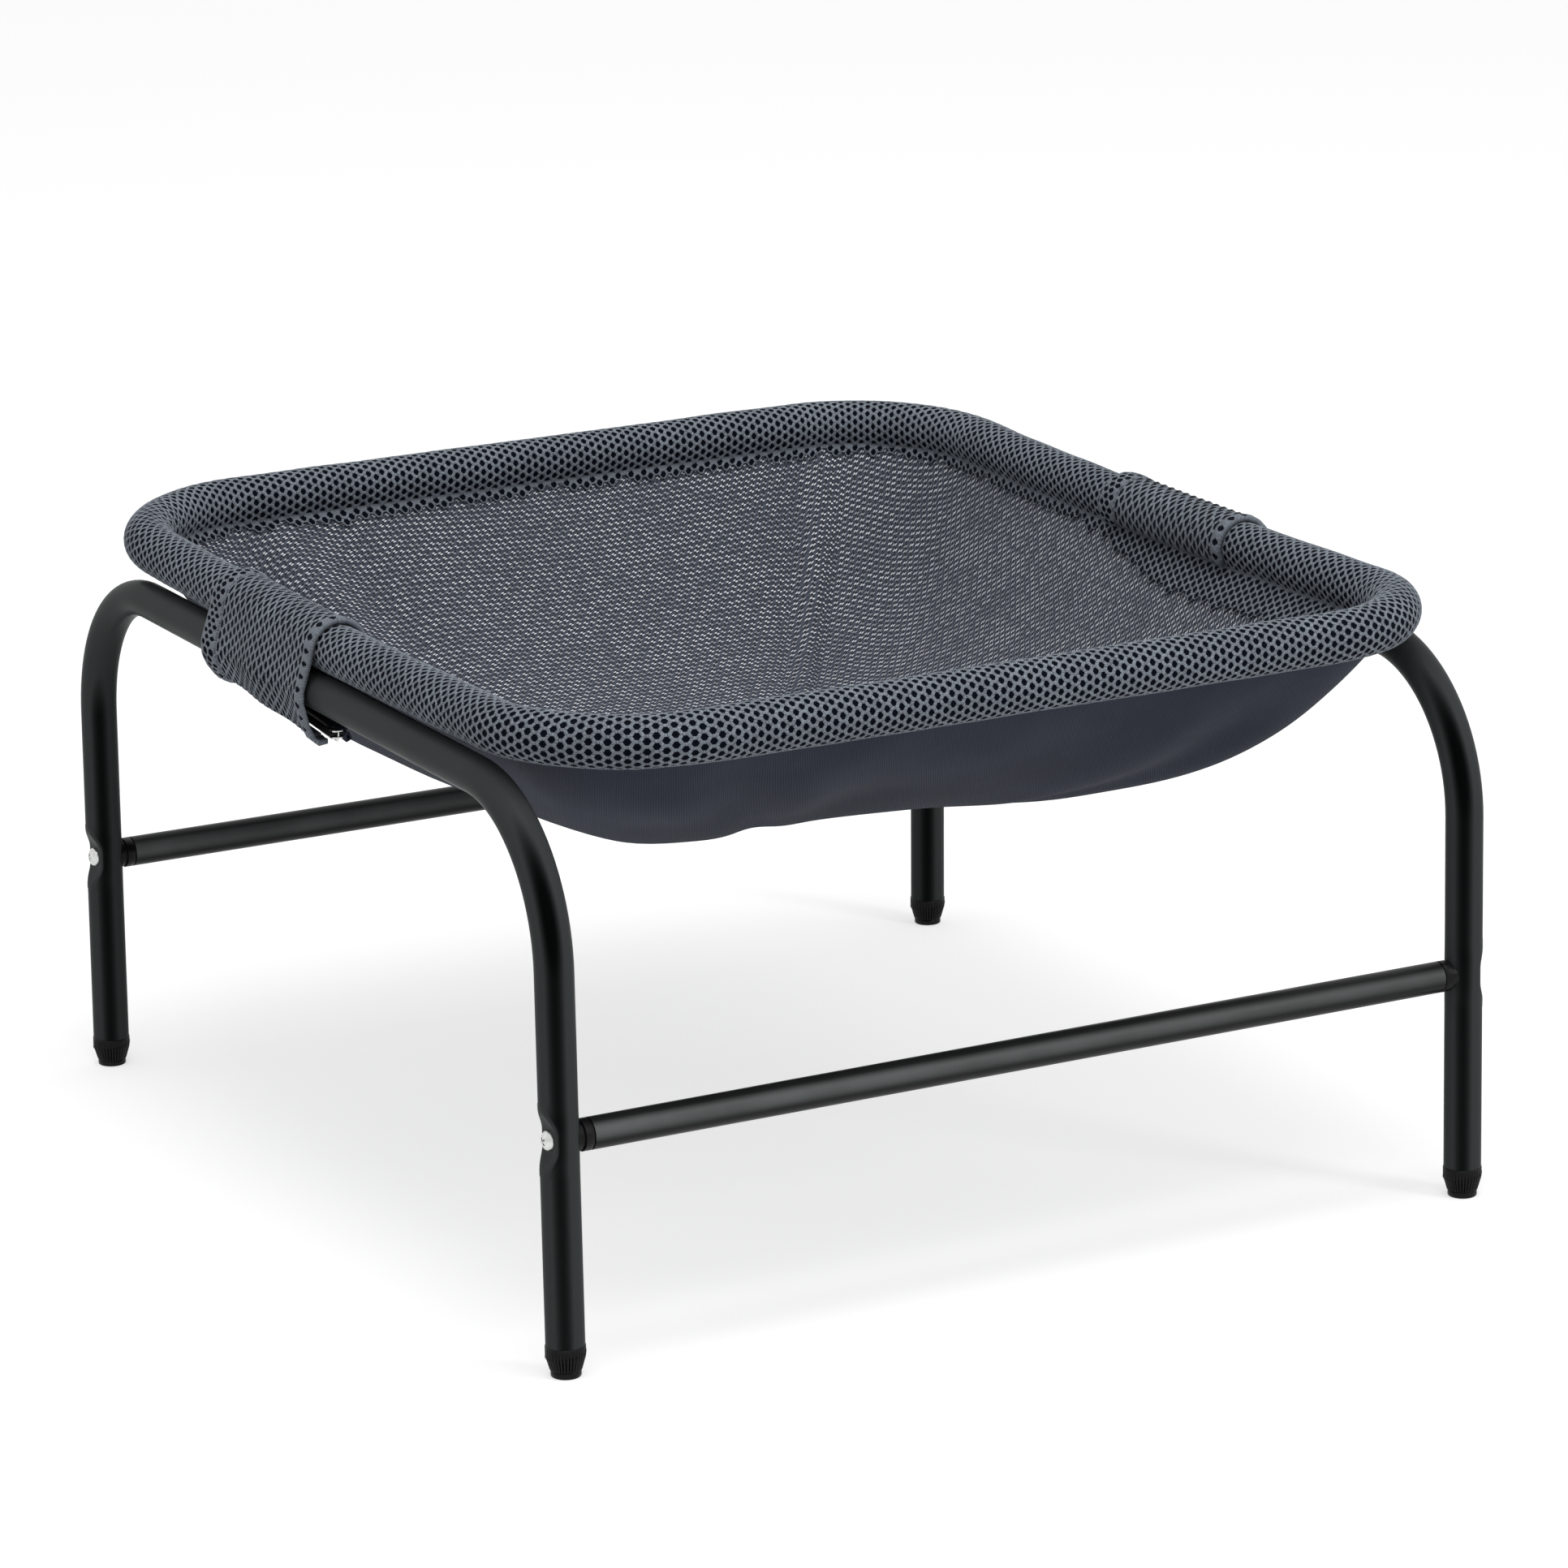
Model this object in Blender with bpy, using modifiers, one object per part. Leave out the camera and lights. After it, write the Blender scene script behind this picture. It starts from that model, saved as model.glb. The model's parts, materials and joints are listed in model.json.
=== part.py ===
"""Elevated pet bed: a fabric hammock with a padded rim, carried by two bent steel tube frames.

Lengths are in metres. +X is the bed's right, -Y its front and +Z is up. The origin lies on the
floor, midway between the four feet.
"""

import math

import bmesh
import bpy
from mathutils import Matrix, Vector

# Clearances
TOUCH_GAP = 0.0003
SCREW_CLEARANCE = 0.0003
FOOT_STEM_CLEARANCE = 0.0007
CUT_OVERRUN = 0.002
WELD_DISTANCE = 0.00001

# Side frames: one tube bent twice, with legs that lean out a little towards the floor
TUBE_DIAMETER = 0.0190
TUBE_WALL = 0.0012
FRAME_SPACING = 0.5056
FRAME_DEPTH = 0.5486
FRAME_TOP_HEIGHT = 0.2745
LEG_SPLAY = 0.0036
BEND_RADIUS = 0.0780
BEND_STEPS = 7
TUBE_SIDES = 16

# Flattened seat that is pressed into the outer side of each leg, under the screw head
SEAT_DEPTH = 0.0050
SEAT_HALF_LENGTH = 0.0170
SEAT_FLAT_HALF_LENGTH = 0.0056
SEAT_RAMP_SHARES = (0.0, 0.3, 0.65, 1.0)

# Cross rails with their plugs, screws and nuts
RAIL_HEIGHT = 0.1170
RAIL_DIAMETER = 0.0158
RAIL_WALL = 0.0010
RAIL_SIDES = 20
PLUG_COLLAR_LENGTH = 0.0058
PLUG_STEM_LENGTH = 0.0150
PLUG_STEPS = 16
SCREW_DIAMETER = 0.0049
SCREW_LENGTH = 0.0350
SCREW_HEAD_DIAMETER = 0.0096
SCREW_HEAD_HEIGHT = 0.0030
SCREW_HEAD_EDGE = 0.0008
SCREW_DOME_STEPS = 4
SCREW_STEPS = 12
CROSS_WIDTH = 0.0010
CROSS_LENGTH = 0.0052
CROSS_DEPTH = 0.0015
NUT_ACROSS_FLATS = 0.0080
NUT_THICKNESS = 0.0040
NUT_SIDES = 6

# Foot caps: base, ribbed skirt, smooth band round the tube's end and a stem inside the tube
FOOT_BASE_HEIGHT = 0.0030
FOOT_BASE_DIAMETER = 0.0148
FOOT_SKIRT_HEIGHT = 0.0084
FOOT_SKIRT_TOP_DIAMETER = 0.0200
FOOT_SKIRT_LOW_DIAMETER = 0.0156
FOOT_BAND_HEIGHT = 0.0040
FOOT_BAND_DIAMETER = 0.0194
FOOT_STEM_LENGTH = 0.0160
FOOT_RIB_COUNT = 24
FOOT_RIB_DEPTH = 0.0004
FOOT_STEPS = 16

# Hammock rim: a steel ring in a slit foam tube in a mesh sleeve, resting on both top tubes
RIM_INSET = 0.0078
RIM_OVERHANG = 0.0028
RIM_CORNER_RADIUS = 0.0770
RIM_DIAMETER = 0.0260
RIM_END_RISE = 0.0050
RIM_CORE_DIAMETER = 0.0060
RIM_CORE_SIDES = 8
RIM_CORNER_STEPS = 6
RIM_SIDE_STEPS = 4
AIR_MESH_THICKNESS = 0.0022
SLEEVE_SEAM_ANGLE = math.radians(60.0)
SLEEVE_SEAM_WIDTH = 0.0040
RIM_SECTION_STEPS = 9

# Sling: two cloth layers sewn into the rim's seam, hanging as one deep bowl
SLING_DEPTH = 0.1070
SLING_WALL_POWER = 4.0
SLING_BACK_SWELL_SHARE = 0.22
SLING_RIGHT_SWELL_SHARE = 0.10
SLING_INNER_THICKNESS = 0.0015
SLING_OUTER_THICKNESS = 0.0008
SLING_LAYER_GAP = 0.0004
SLING_SEAM_GAP = 0.0006
SLING_RING_SHARES = (1.0, 0.975, 0.93, 0.86, 0.77, 0.64, 0.48, 0.28, 0.0)
SLING_SLOPE_SHARE = 0.98
FOLD_INSET = 0.1000
FOLD_DEPTH = 0.0100
FOLD_HALF_WIDTH = 0.0260
FOLD_COLUMN_SHARES = (-1.3, -0.65, 0.0, 0.65, 1.3)
FOLD_START_SHARE = 1.0
FOLD_PEAK_SHARE = 0.84
FOLD_END_SHARE = 0.35

# Flaps: mesh panels that wrap the rim and the top tube and close with a zip underneath
FLAP_WIDTH = 0.1190
LEFT_FLAP_CENTRE = 0.0355
RIGHT_FLAP_CENTRE = -0.0175
FLAP_ROOT_ANGLE = math.radians(215.0)
FLAP_RIM_STEPS = 7
FLAP_TUBE_STEPS = 3
FLAP_ROWS = 3
FLAP_HEM = 0.0040
STRIP_THICKNESS = 0.0008
STRIP_HEM = 0.0015
STRIP_ROOT_ANGLE = math.radians(252.0)

# Zips: the line along which each flap closes, and the hardware on it
ZIP_INSET = 0.0020
ZIP_FRONT_DROP = 0.0115
ZIP_REAR_DROP = 0.0032
ZIP_TAPE_WIDTH = 0.0046
ZIP_TAPE_THICKNESS = 0.0008
ZIP_COIL_WIDTH = 0.0019
ZIP_COIL_HEIGHT = 0.0020
ZIP_COIL_GAP = 0.0014
SLIDER_WIDTH = 0.0074
SLIDER_LENGTH = 0.0090
SLIDER_PLATE = 0.0008
SLIDER_RUNNING_GAP = 0.0003
SLIDER_FRONT_OVERHANG = 0.0010
BRIDGE_WIRE_DIAMETER = 0.0010
BRIDGE_HALF_LENGTH = 0.0030
PULL_LENGTH = 0.0140
PULL_WIDTH = 0.0046
PULL_THICKNESS = 0.0010
PULL_PLATE_GAP = 0.0004
PULL_WINDOW_LENGTH = 0.0042
PULL_WINDOW_WIDTH = 0.0022

# Sizes that follow from the ones above
TUBE_RADIUS = TUBE_DIAMETER / 2
RAIL_RADIUS = RAIL_DIAMETER / 2
RIM_RADIUS = RIM_DIAMETER / 2
FRAME_OFFSET = FRAME_SPACING / 2
FRAME_TOP_DEPTH = FRAME_DEPTH - 2 * LEG_SPLAY
RIM_WIDTH = FRAME_SPACING - 2 * RIM_INSET
RIM_DEPTH = FRAME_TOP_DEPTH + 2 * RIM_OVERHANG
FOLD_OFFSET = RIM_WIDTH / 2 - FOLD_INSET
RIM_SEAT = TUBE_RADIUS + RIM_RADIUS + TOUCH_GAP
RIM_SLIT_ANGLE = SLEEVE_SEAM_WIDTH / RIM_RADIUS
RIM_HALF_STEP = (math.pi - RIM_SLIT_ANGLE / 2) / RIM_SECTION_STEPS
RIM_SIDE_HEIGHT = FRAME_TOP_HEIGHT + math.sqrt(RIM_SEAT ** 2 - RIM_INSET ** 2)
LEG_SLOPE = LEG_SPLAY / FRAME_TOP_HEIGHT
LEG_LEAN = math.atan(LEG_SLOPE)
FOOT_HEIGHT = FOOT_BASE_HEIGHT + FOOT_SKIRT_HEIGHT + FOOT_BAND_HEIGHT
SEAT_FLAT = TUBE_RADIUS - SEAT_DEPTH
RAIL_HALF_LENGTH = FRAME_OFFSET - TUBE_RADIUS - PLUG_COLLAR_LENGTH
HOLE_RADIUS = SCREW_DIAMETER / 2 + SCREW_CLEARANCE
TUBE_BOTTOM = FRAME_TOP_HEIGHT - TUBE_RADIUS
ZIP_RUN = FLAP_WIDTH
ZIP_SLOPE = math.atan((ZIP_FRONT_DROP - ZIP_REAR_DROP) / ZIP_RUN)
SLIDER_HALF_OPENING = ZIP_COIL_HEIGHT / 2 + SLIDER_RUNNING_GAP
SLIDER_HALF_HEIGHT = SLIDER_HALF_OPENING + SLIDER_PLATE
PULL_AXIS_DROP = SLIDER_HALF_HEIGHT + PULL_PLATE_GAP + PULL_THICKNESS / 2
BRIDGE_RADIUS = BRIDGE_WIRE_DIAMETER / 2
BRIDGE_DROP = PULL_AXIS_DROP + PULL_THICKNESS + BRIDGE_RADIUS
SIDES = {"left": -1, "right": 1}
ENDS = {"front": -1, "rear": 1}
FLAP_CENTRES = {"left": LEFT_FLAP_CENTRE, "right": RIGHT_FLAP_CENTRE}


def clear_scene():
    """Remove every object, so that the bed is built in an empty scene."""
    for item in list(bpy.data.objects):
        bpy.data.objects.remove(item, do_unlink=True)


def make_collection(name):
    """Return a new collection linked to the scene."""
    collection = bpy.data.collections.new(name)
    bpy.context.scene.collection.children.link(collection)
    return collection


def make_material(name, colour, roughness, metallic=0.0):
    """Return a Principled material with one colour."""
    material = bpy.data.materials.new(name)
    material.use_nodes = True
    shader = material.node_tree.nodes["Principled BSDF"]
    shader.inputs["Base Color"].default_value = (*colour, 1.0)
    shader.inputs["Roughness"].default_value = roughness
    shader.inputs["Metallic"].default_value = metallic
    return material


class Bed:
    """The bed's collections and the finishes that its pieces share."""

    def __init__(self):
        self.parts = make_collection("elevated_pet_bed")
        self.cutters = make_collection("cutters")
        self.finishes = {
            "black_paint": ((0.012, 0.013, 0.013), 0.42, 0.0),
            "black_plastic": ((0.016, 0.016, 0.017), 0.55, 0.0),
            "zinc": ((0.62, 0.63, 0.62), 0.30, 1.0),
            "bare_steel": ((0.45, 0.45, 0.46), 0.38, 1.0),
            "foam": ((0.05, 0.05, 0.055), 0.95, 0.0),
            "air_mesh": ((0.060, 0.072, 0.088), 0.90, 0.0),
            "fleck_mesh": ((0.065, 0.075, 0.100), 0.85, 0.0),
            "woven_cloth": ((0.022, 0.026, 0.038), 0.88, 0.0),
            "zip_tape": ((0.010, 0.010, 0.012), 0.80, 0.0),
            "zip_metal": ((0.70, 0.70, 0.69), 0.25, 1.0),
        }

    def add(self, name, data, finish, location=(0, 0, 0), turn=None):
        """Add a named piece with its own material and return its object."""
        item = bpy.data.objects.new(name, data)
        self.parts.objects.link(item)
        colour, roughness, metallic = self.finishes[finish]
        data.materials.clear()
        data.materials.append(make_material(name, colour, roughness, metallic))
        placement = turn.to_4x4() if turn else Matrix.Identity(4)
        item.matrix_world = Matrix.Translation(location) @ placement
        return item

    def add_cutter(self, name, data, location=(0, 0, 0), turn=None):
        """Add a hidden cutting shape and return its object."""
        item = bpy.data.objects.new(name, data)
        self.cutters.objects.link(item)
        item.hide_render = True
        item.display_type = "WIRE"
        placement = turn.to_4x4() if turn else Matrix.Identity(4)
        item.matrix_world = Matrix.Translation(location) @ placement
        return item


def join_shape(target, tool, operation):
    """Cut or join a helper shape to a piece with an exact boolean."""
    change = target.modifiers.new(tool.name, "BOOLEAN")
    change.operation = operation
    change.object = tool
    change.solver = "EXACT"


def thicken(item, thickness, offset=-1.0):
    """Give an open surface its wall."""
    shell = item.modifiers.new("wall", "SOLIDIFY")
    shell.thickness = thickness
    shell.offset = offset
    shell.use_even_offset = True


def shade_round(mesh, angle=math.radians(35.0)):
    """Shade a round mesh smooth, with its edges kept sharp."""
    mesh.shade_smooth()
    mesh.set_sharp_from_angle(angle=angle)


def mesh_from(build):
    """Return a mesh filled by a function that receives an empty bmesh."""
    shape = bmesh.new()
    build(shape)
    mesh = bpy.data.meshes.new("shape")
    shape.to_mesh(mesh)
    shape.free()
    return mesh


def prism_mesh(sides, radius, length, top_radius=None, open_ends=False):
    """Return a round or many-sided bar along Z, centred on its own origin."""
    def build(shape):
        bmesh.ops.create_cone(
            shape,
            cap_ends=not open_ends,
            segments=sides,
            radius1=radius,
            radius2=radius if top_radius is None else top_radius,
            depth=length,
        )
    mesh = mesh_from(build)
    shade_round(mesh)
    return mesh


def box_mesh(size_x, size_y, size_z):
    """Return a box centred on its own origin."""
    def build(shape):
        bmesh.ops.create_cube(shape, size=1.0, matrix=Matrix.Diagonal((size_x, size_y, size_z, 1.0)))
    return mesh_from(build)


def turned_mesh(profile, closed=False):
    """Return a profile of radius and height values as edges, for turning about Z."""
    edges = [(index, index + 1) for index in range(len(profile) - 1)]
    if closed:
        edges.append((len(profile) - 1, 0))
    mesh = bpy.data.meshes.new("profile")
    mesh.from_pydata([(radius, 0.0, height) for radius, height in profile], edges, [])
    return mesh


def spin(item, steps):
    """Turn a profile into a round piece about its own Z axis."""
    lathe = item.modifiers.new("turn", "SCREW")
    lathe.axis = "Z"
    lathe.steps = steps
    lathe.render_steps = steps
    lathe.use_merge_vertices = True
    lathe.merge_threshold = WELD_DISTANCE
    lathe.use_smooth_shade = False


def sheet_mesh(rows, weld=False):
    """Return an open surface through rows of points, each row as long as the next."""
    def build(shape):
        columns = len(rows[0])
        bmesh.ops.create_grid(shape, x_segments=columns - 1, y_segments=len(rows) - 1, size=1.0)
        for vert in shape.verts:
            column = round((vert.co.x + 1) / 2 * (columns - 1))
            row = round((vert.co.y + 1) / 2 * (len(rows) - 1))
            vert.co = rows[row][column]
        if weld:
            bmesh.ops.remove_doubles(shape, verts=shape.verts, dist=WELD_DISTANCE)
    mesh = mesh_from(build)
    shade_round(mesh, math.radians(60.0))
    return mesh


def path_curve(points, radius, resolution, cyclic=False, caps=False):
    """Return a round bar that follows a list of points."""
    curve = bpy.data.curves.new("path", "CURVE")
    curve.dimensions = "3D"
    curve.fill_mode = "FULL"
    curve.bevel_depth = radius
    curve.bevel_resolution = resolution
    curve.use_fill_caps = caps
    spline = curve.splines.new("POLY")
    spline.points.add(len(points) - 1)
    for knot, point in zip(spline.points, points):
        knot.co = (*point, 1.0)
    spline.use_cyclic_u = cyclic
    return curve


def outline_curve(outlines, thickness):
    """Return a flat plate from closed outlines; the later ones are holes in the first."""
    curve = bpy.data.curves.new("outline", "CURVE")
    curve.dimensions = "2D"
    curve.fill_mode = "BOTH"
    curve.extrude = thickness / 2
    for outline in outlines:
        spline = curve.splines.new("POLY")
        spline.points.add(len(outline) - 1)
        for knot, (across, along) in zip(spline.points, outline):
            knot.co = (across, along, 0.0, 1.0)
        spline.use_cyclic_u = True
    return curve


def mesh_of_curve(curve):
    """Return a welded mesh of a curve, so that it can be reshaped, cut or joined."""
    helper = bpy.data.objects.new("helper", curve)
    bpy.context.scene.collection.objects.link(helper)
    graph = bpy.context.evaluated_depsgraph_get()
    mesh = bpy.data.meshes.new_from_object(helper.evaluated_get(graph))
    bpy.data.objects.remove(helper, do_unlink=True)
    shape = bmesh.new()
    shape.from_mesh(mesh)
    bmesh.ops.remove_doubles(shape, verts=shape.verts, dist=WELD_DISTANCE)
    shape.to_mesh(mesh)
    shape.free()
    return mesh


def leg_offset(height):
    """Return how far a leg's axis lies from the bed's middle, along Y, at a height."""
    return FRAME_TOP_DEPTH / 2 + LEG_SLOPE * (FRAME_TOP_HEIGHT - height)


def frame_path(side):
    """Return the points along one bent tube's axis, from its front foot to its rear foot."""
    offset = side * FRAME_OFFSET
    turn = math.pi / 2 - LEG_LEAN
    run = BEND_RADIUS * math.tan(turn / 2)
    centre_y = FRAME_TOP_DEPTH / 2 - run
    centre_z = FRAME_TOP_HEIGHT - BEND_RADIUS
    ramp = SEAT_HALF_LENGTH - SEAT_FLAT_HALF_LENGTH
    rings = [SEAT_FLAT_HALF_LENGTH + share * ramp for share in SEAT_RAMP_SHARES]
    leg_heights = [FOOT_HEIGHT + TOUCH_GAP]
    leg_heights += [RAIL_HEIGHT - ring for ring in reversed(rings)]
    leg_heights += [RAIL_HEIGHT + ring for ring in rings]
    half = [(leg_offset(height), height) for height in leg_heights]
    for step in range(BEND_STEPS + 1):
        angle = LEG_LEAN + turn * step / BEND_STEPS
        half.append((centre_y + BEND_RADIUS * math.cos(angle), centre_z + BEND_RADIUS * math.sin(angle)))
    front = [Vector((offset, -depth, height)) for depth, height in half]
    rear = [Vector((offset, depth, height)) for depth, height in reversed(half)]
    return front + rear


def press_seats(mesh, side):
    """Press the flat screw seats into the outer side of a tube's legs."""
    ramp = SEAT_HALF_LENGTH - SEAT_FLAT_HALF_LENGTH
    for vert in mesh.vertices:
        away = abs(vert.co.z - RAIL_HEIGHT) - SEAT_FLAT_HALF_LENGTH
        share = min(max(away / ramp, 0.0), 1.0)
        limit = TUBE_RADIUS - SEAT_DEPTH * (1 + math.cos(math.pi * share)) / 2
        outward = side * vert.co.x - FRAME_OFFSET
        vert.co.x = side * (FRAME_OFFSET + min(outward, limit))


def side_turn(side):
    """Return the rotation that lays a piece's own +Z along the bed's outward side."""
    return Matrix.Rotation(side * math.pi / 2, 4, "Y")


def build_side_frame(bed, side_name):
    """Add one bent tube with its pressed seats and screw holes."""
    side = SIDES[side_name]
    mesh = mesh_of_curve(path_curve(frame_path(side), TUBE_RADIUS, (TUBE_SIDES - 4) // 2))
    press_seats(mesh, side)
    shade_round(mesh)
    frame = bed.add(side_name + "_side_frame", mesh, "black_paint")
    thicken(frame, TUBE_WALL)
    for end_name, end in ENDS.items():
        hole = bed.add_cutter(
            side_name + "_" + end_name + "_hole",
            prism_mesh(SCREW_STEPS, HOLE_RADIUS, TUBE_DIAMETER + 2 * CUT_OVERRUN),
            location=(side * FRAME_OFFSET, end * leg_offset(RAIL_HEIGHT), RAIL_HEIGHT),
            turn=side_turn(side),
        )
        join_shape(frame, hole, "DIFFERENCE")


def build_rail(bed, end_name):
    """Add one cross rail, an open tube between the plugs."""
    mesh = prism_mesh(RAIL_SIDES, RAIL_RADIUS, 2 * RAIL_HALF_LENGTH - 2 * TOUCH_GAP, open_ends=True)
    rail = bed.add(
        end_name + "_cross_rail",
        mesh,
        "black_paint",
        location=(0, ENDS[end_name] * leg_offset(RAIL_HEIGHT), RAIL_HEIGHT),
        turn=side_turn(1),
    )
    thicken(rail, RAIL_WALL)


def build_plug(bed, side_name, end_name):
    """Add the plug in a rail's end: a stem in the rail and a collar that fits round the leg."""
    side = SIDES[side_name]
    depth = ENDS[end_name] * leg_offset(RAIL_HEIGHT)
    stem = RAIL_RADIUS - RAIL_WALL - TOUCH_GAP
    reach = PLUG_COLLAR_LENGTH + TUBE_RADIUS - math.sqrt(TUBE_RADIUS ** 2 - RAIL_RADIUS ** 2)
    profile = [
        (HOLE_RADIUS, reach),
        (RAIL_RADIUS, reach),
        (RAIL_RADIUS, 0.0),
        (stem, 0.0),
        (stem, -PLUG_STEM_LENGTH),
        (HOLE_RADIUS, -PLUG_STEM_LENGTH),
    ]
    origin = (side * RAIL_HALF_LENGTH, depth, RAIL_HEIGHT)
    label = end_name + "_" + side_name
    mesh = turned_mesh(profile, closed=True)
    plug = bed.add(label + "_rail_plug", mesh, "black_plastic", location=origin, turn=side_turn(side))
    spin(plug, PLUG_STEPS)
    leg = bed.add_cutter(
        label + "_leg_shape",
        prism_mesh(PLUG_STEPS * 2, TUBE_RADIUS + TOUCH_GAP, RAIL_DIAMETER * 2),
        location=(side * FRAME_OFFSET, depth, RAIL_HEIGHT),
        turn=Matrix.Rotation(ENDS[end_name] * LEG_LEAN, 4, "X"),
    )
    join_shape(plug, leg, "DIFFERENCE")
    pocket_depth = NUT_THICKNESS + TOUCH_GAP + CUT_OVERRUN
    pocket_radius = (NUT_ACROSS_FLATS / 2 + TOUCH_GAP) / math.cos(math.pi / NUT_SIDES)
    pocket_centre = RAIL_HALF_LENGTH - PLUG_STEM_LENGTH - CUT_OVERRUN + pocket_depth / 2
    pocket = bed.add_cutter(
        label + "_nut_pocket",
        prism_mesh(NUT_SIDES, pocket_radius, pocket_depth),
        location=(side * pocket_centre, depth, RAIL_HEIGHT),
        turn=side_turn(side),
    )
    join_shape(plug, pocket, "DIFFERENCE")


def build_nut(bed, side_name, end_name):
    """Add the nut that sits in the plug's inner end."""
    side = SIDES[side_name]
    centre = RAIL_HALF_LENGTH - PLUG_STEM_LENGTH + NUT_THICKNESS / 2
    place = (side * centre, ENDS[end_name] * leg_offset(RAIL_HEIGHT), RAIL_HEIGHT)
    label = end_name + "_" + side_name
    nut = bed.add(
        label + "_nut",
        prism_mesh(NUT_SIDES, NUT_ACROSS_FLATS / 2 / math.cos(math.pi / NUT_SIDES), NUT_THICKNESS),
        "bare_steel",
        location=place,
        turn=side_turn(side),
    )
    bore = bed.add_cutter(
        label + "_nut_bore",
        prism_mesh(SCREW_STEPS, HOLE_RADIUS, NUT_THICKNESS + 2 * CUT_OVERRUN),
        location=place,
        turn=side_turn(side),
    )
    join_shape(nut, bore, "DIFFERENCE")


def build_screw(bed, side_name, end_name):
    """Add the pan head screw that sits in a leg's pressed seat and runs into the plug."""
    side = SIDES[side_name]
    head = SCREW_HEAD_DIAMETER / 2
    shank = SCREW_DIAMETER / 2
    dome = SCREW_HEAD_HEIGHT - SCREW_HEAD_EDGE
    profile = [(0.0, SCREW_HEAD_HEIGHT)]
    for step in range(1, SCREW_DOME_STEPS + 1):
        angle = math.pi / 2 * (1 - step / SCREW_DOME_STEPS)
        profile.append((head * math.cos(angle), SCREW_HEAD_EDGE + dome * math.sin(angle)))
    profile += [(head, 0.0), (shank, 0.0), (shank, -SCREW_LENGTH), (0.0, -SCREW_LENGTH)]
    place = (
        side * (FRAME_OFFSET + SEAT_FLAT + TOUCH_GAP),
        ENDS[end_name] * leg_offset(RAIL_HEIGHT),
        RAIL_HEIGHT,
    )
    label = end_name + "_" + side_name
    screw = bed.add(label + "_screw", turned_mesh(profile), "zinc", location=place, turn=side_turn(side))
    spin(screw, SCREW_STEPS)
    recess_top = SCREW_HEAD_HEIGHT + CUT_OVERRUN
    recess_low = SCREW_HEAD_HEIGHT - CROSS_DEPTH
    recess = Vector((side * (recess_top + recess_low) / 2, 0, 0))
    for bar, size_y, size_z in (("tall", CROSS_WIDTH, CROSS_LENGTH), ("wide", CROSS_LENGTH, CROSS_WIDTH)):
        slot = bed.add_cutter(
            label + "_cross_" + bar,
            box_mesh(recess_top - recess_low, size_y, size_z),
            location=Vector(place) + recess,
        )
        join_shape(screw, slot, "DIFFERENCE")


def build_foot_cap(bed, side_name, end_name):
    """Add the ribbed plastic cap on the end of a leg, in line with the leg and cut flat at the floor."""
    side = SIDES[side_name]
    end = ENDS[end_name]
    skirt_top = FOOT_BASE_HEIGHT + FOOT_SKIRT_HEIGHT
    stem = TUBE_RADIUS - TUBE_WALL - FOOT_STEM_CLEARANCE
    core = FOOT_BASE_DIAMETER / 2
    band = FOOT_BAND_DIAMETER / 2
    middle = FOOT_BASE_HEIGHT + FOOT_SKIRT_HEIGHT / 2
    profile = [
        (0.0, FOOT_HEIGHT + FOOT_STEM_LENGTH),
        (stem, FOOT_HEIGHT + FOOT_STEM_LENGTH),
        (stem, FOOT_HEIGHT),
        (band, FOOT_HEIGHT),
        (band, skirt_top - FOOT_RIB_DEPTH),
        (core, middle),
        (core, -CUT_OVERRUN),
        (0.0, -CUT_OVERRUN),
    ]
    place = Vector((side * FRAME_OFFSET, end * leg_offset(0.0), 0))
    lean = Matrix.Rotation(end * LEG_LEAN, 4, "X")
    label = end_name + "_" + side_name
    cap = bed.add(label + "_foot_cap", turned_mesh(profile), "black_plastic", location=place, turn=lean)
    spin(cap, FOOT_STEPS)
    skirt_mesh = prism_mesh(
        2 * FOOT_RIB_COUNT,
        FOOT_SKIRT_LOW_DIAMETER / 2,
        FOOT_SKIRT_HEIGHT,
        top_radius=FOOT_SKIRT_TOP_DIAMETER / 2,
    )
    for vert in skirt_mesh.vertices:
        radius = vert.co.xy.length
        position = math.atan2(vert.co.y, vert.co.x) / (math.pi / FOOT_RIB_COUNT)
        if round(position) % 2:
            vert.co.xy *= (radius - FOOT_RIB_DEPTH) / radius
    skirt = bed.add_cutter(label + "_skirt", skirt_mesh, place + lean @ Vector((0, 0, middle)), lean)
    join_shape(cap, skirt, "UNION")
    floor_mesh = box_mesh(2 * FOOT_BAND_DIAMETER, 2 * FOOT_BAND_DIAMETER, FOOT_BAND_DIAMETER)
    below = Vector((0, 0, -FOOT_BAND_DIAMETER / 2))
    floor = bed.add_cutter(label + "_floor_cut", floor_mesh, place + below)
    join_shape(cap, floor, "DIFFERENCE")


def rim_height(depth):
    """Return the height of the rim's axis at a place along Y; its ends rise a little."""
    return RIM_SIDE_HEIGHT + RIM_END_RISE * (depth / (RIM_DEPTH / 2)) ** 2


def rim_corners():
    """Yield each corner's centre and start angle, going anticlockwise from the front right."""
    across = RIM_WIDTH / 2 - RIM_CORNER_RADIUS
    along = RIM_DEPTH / 2 - RIM_CORNER_RADIUS
    signs = ((1, -1), (1, 1), (-1, 1), (-1, -1))
    for quarter, (sign_x, sign_y) in enumerate(signs):
        yield Vector((sign_x * across, sign_y * along, 0)), (quarter - 1) * math.pi / 2


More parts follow.
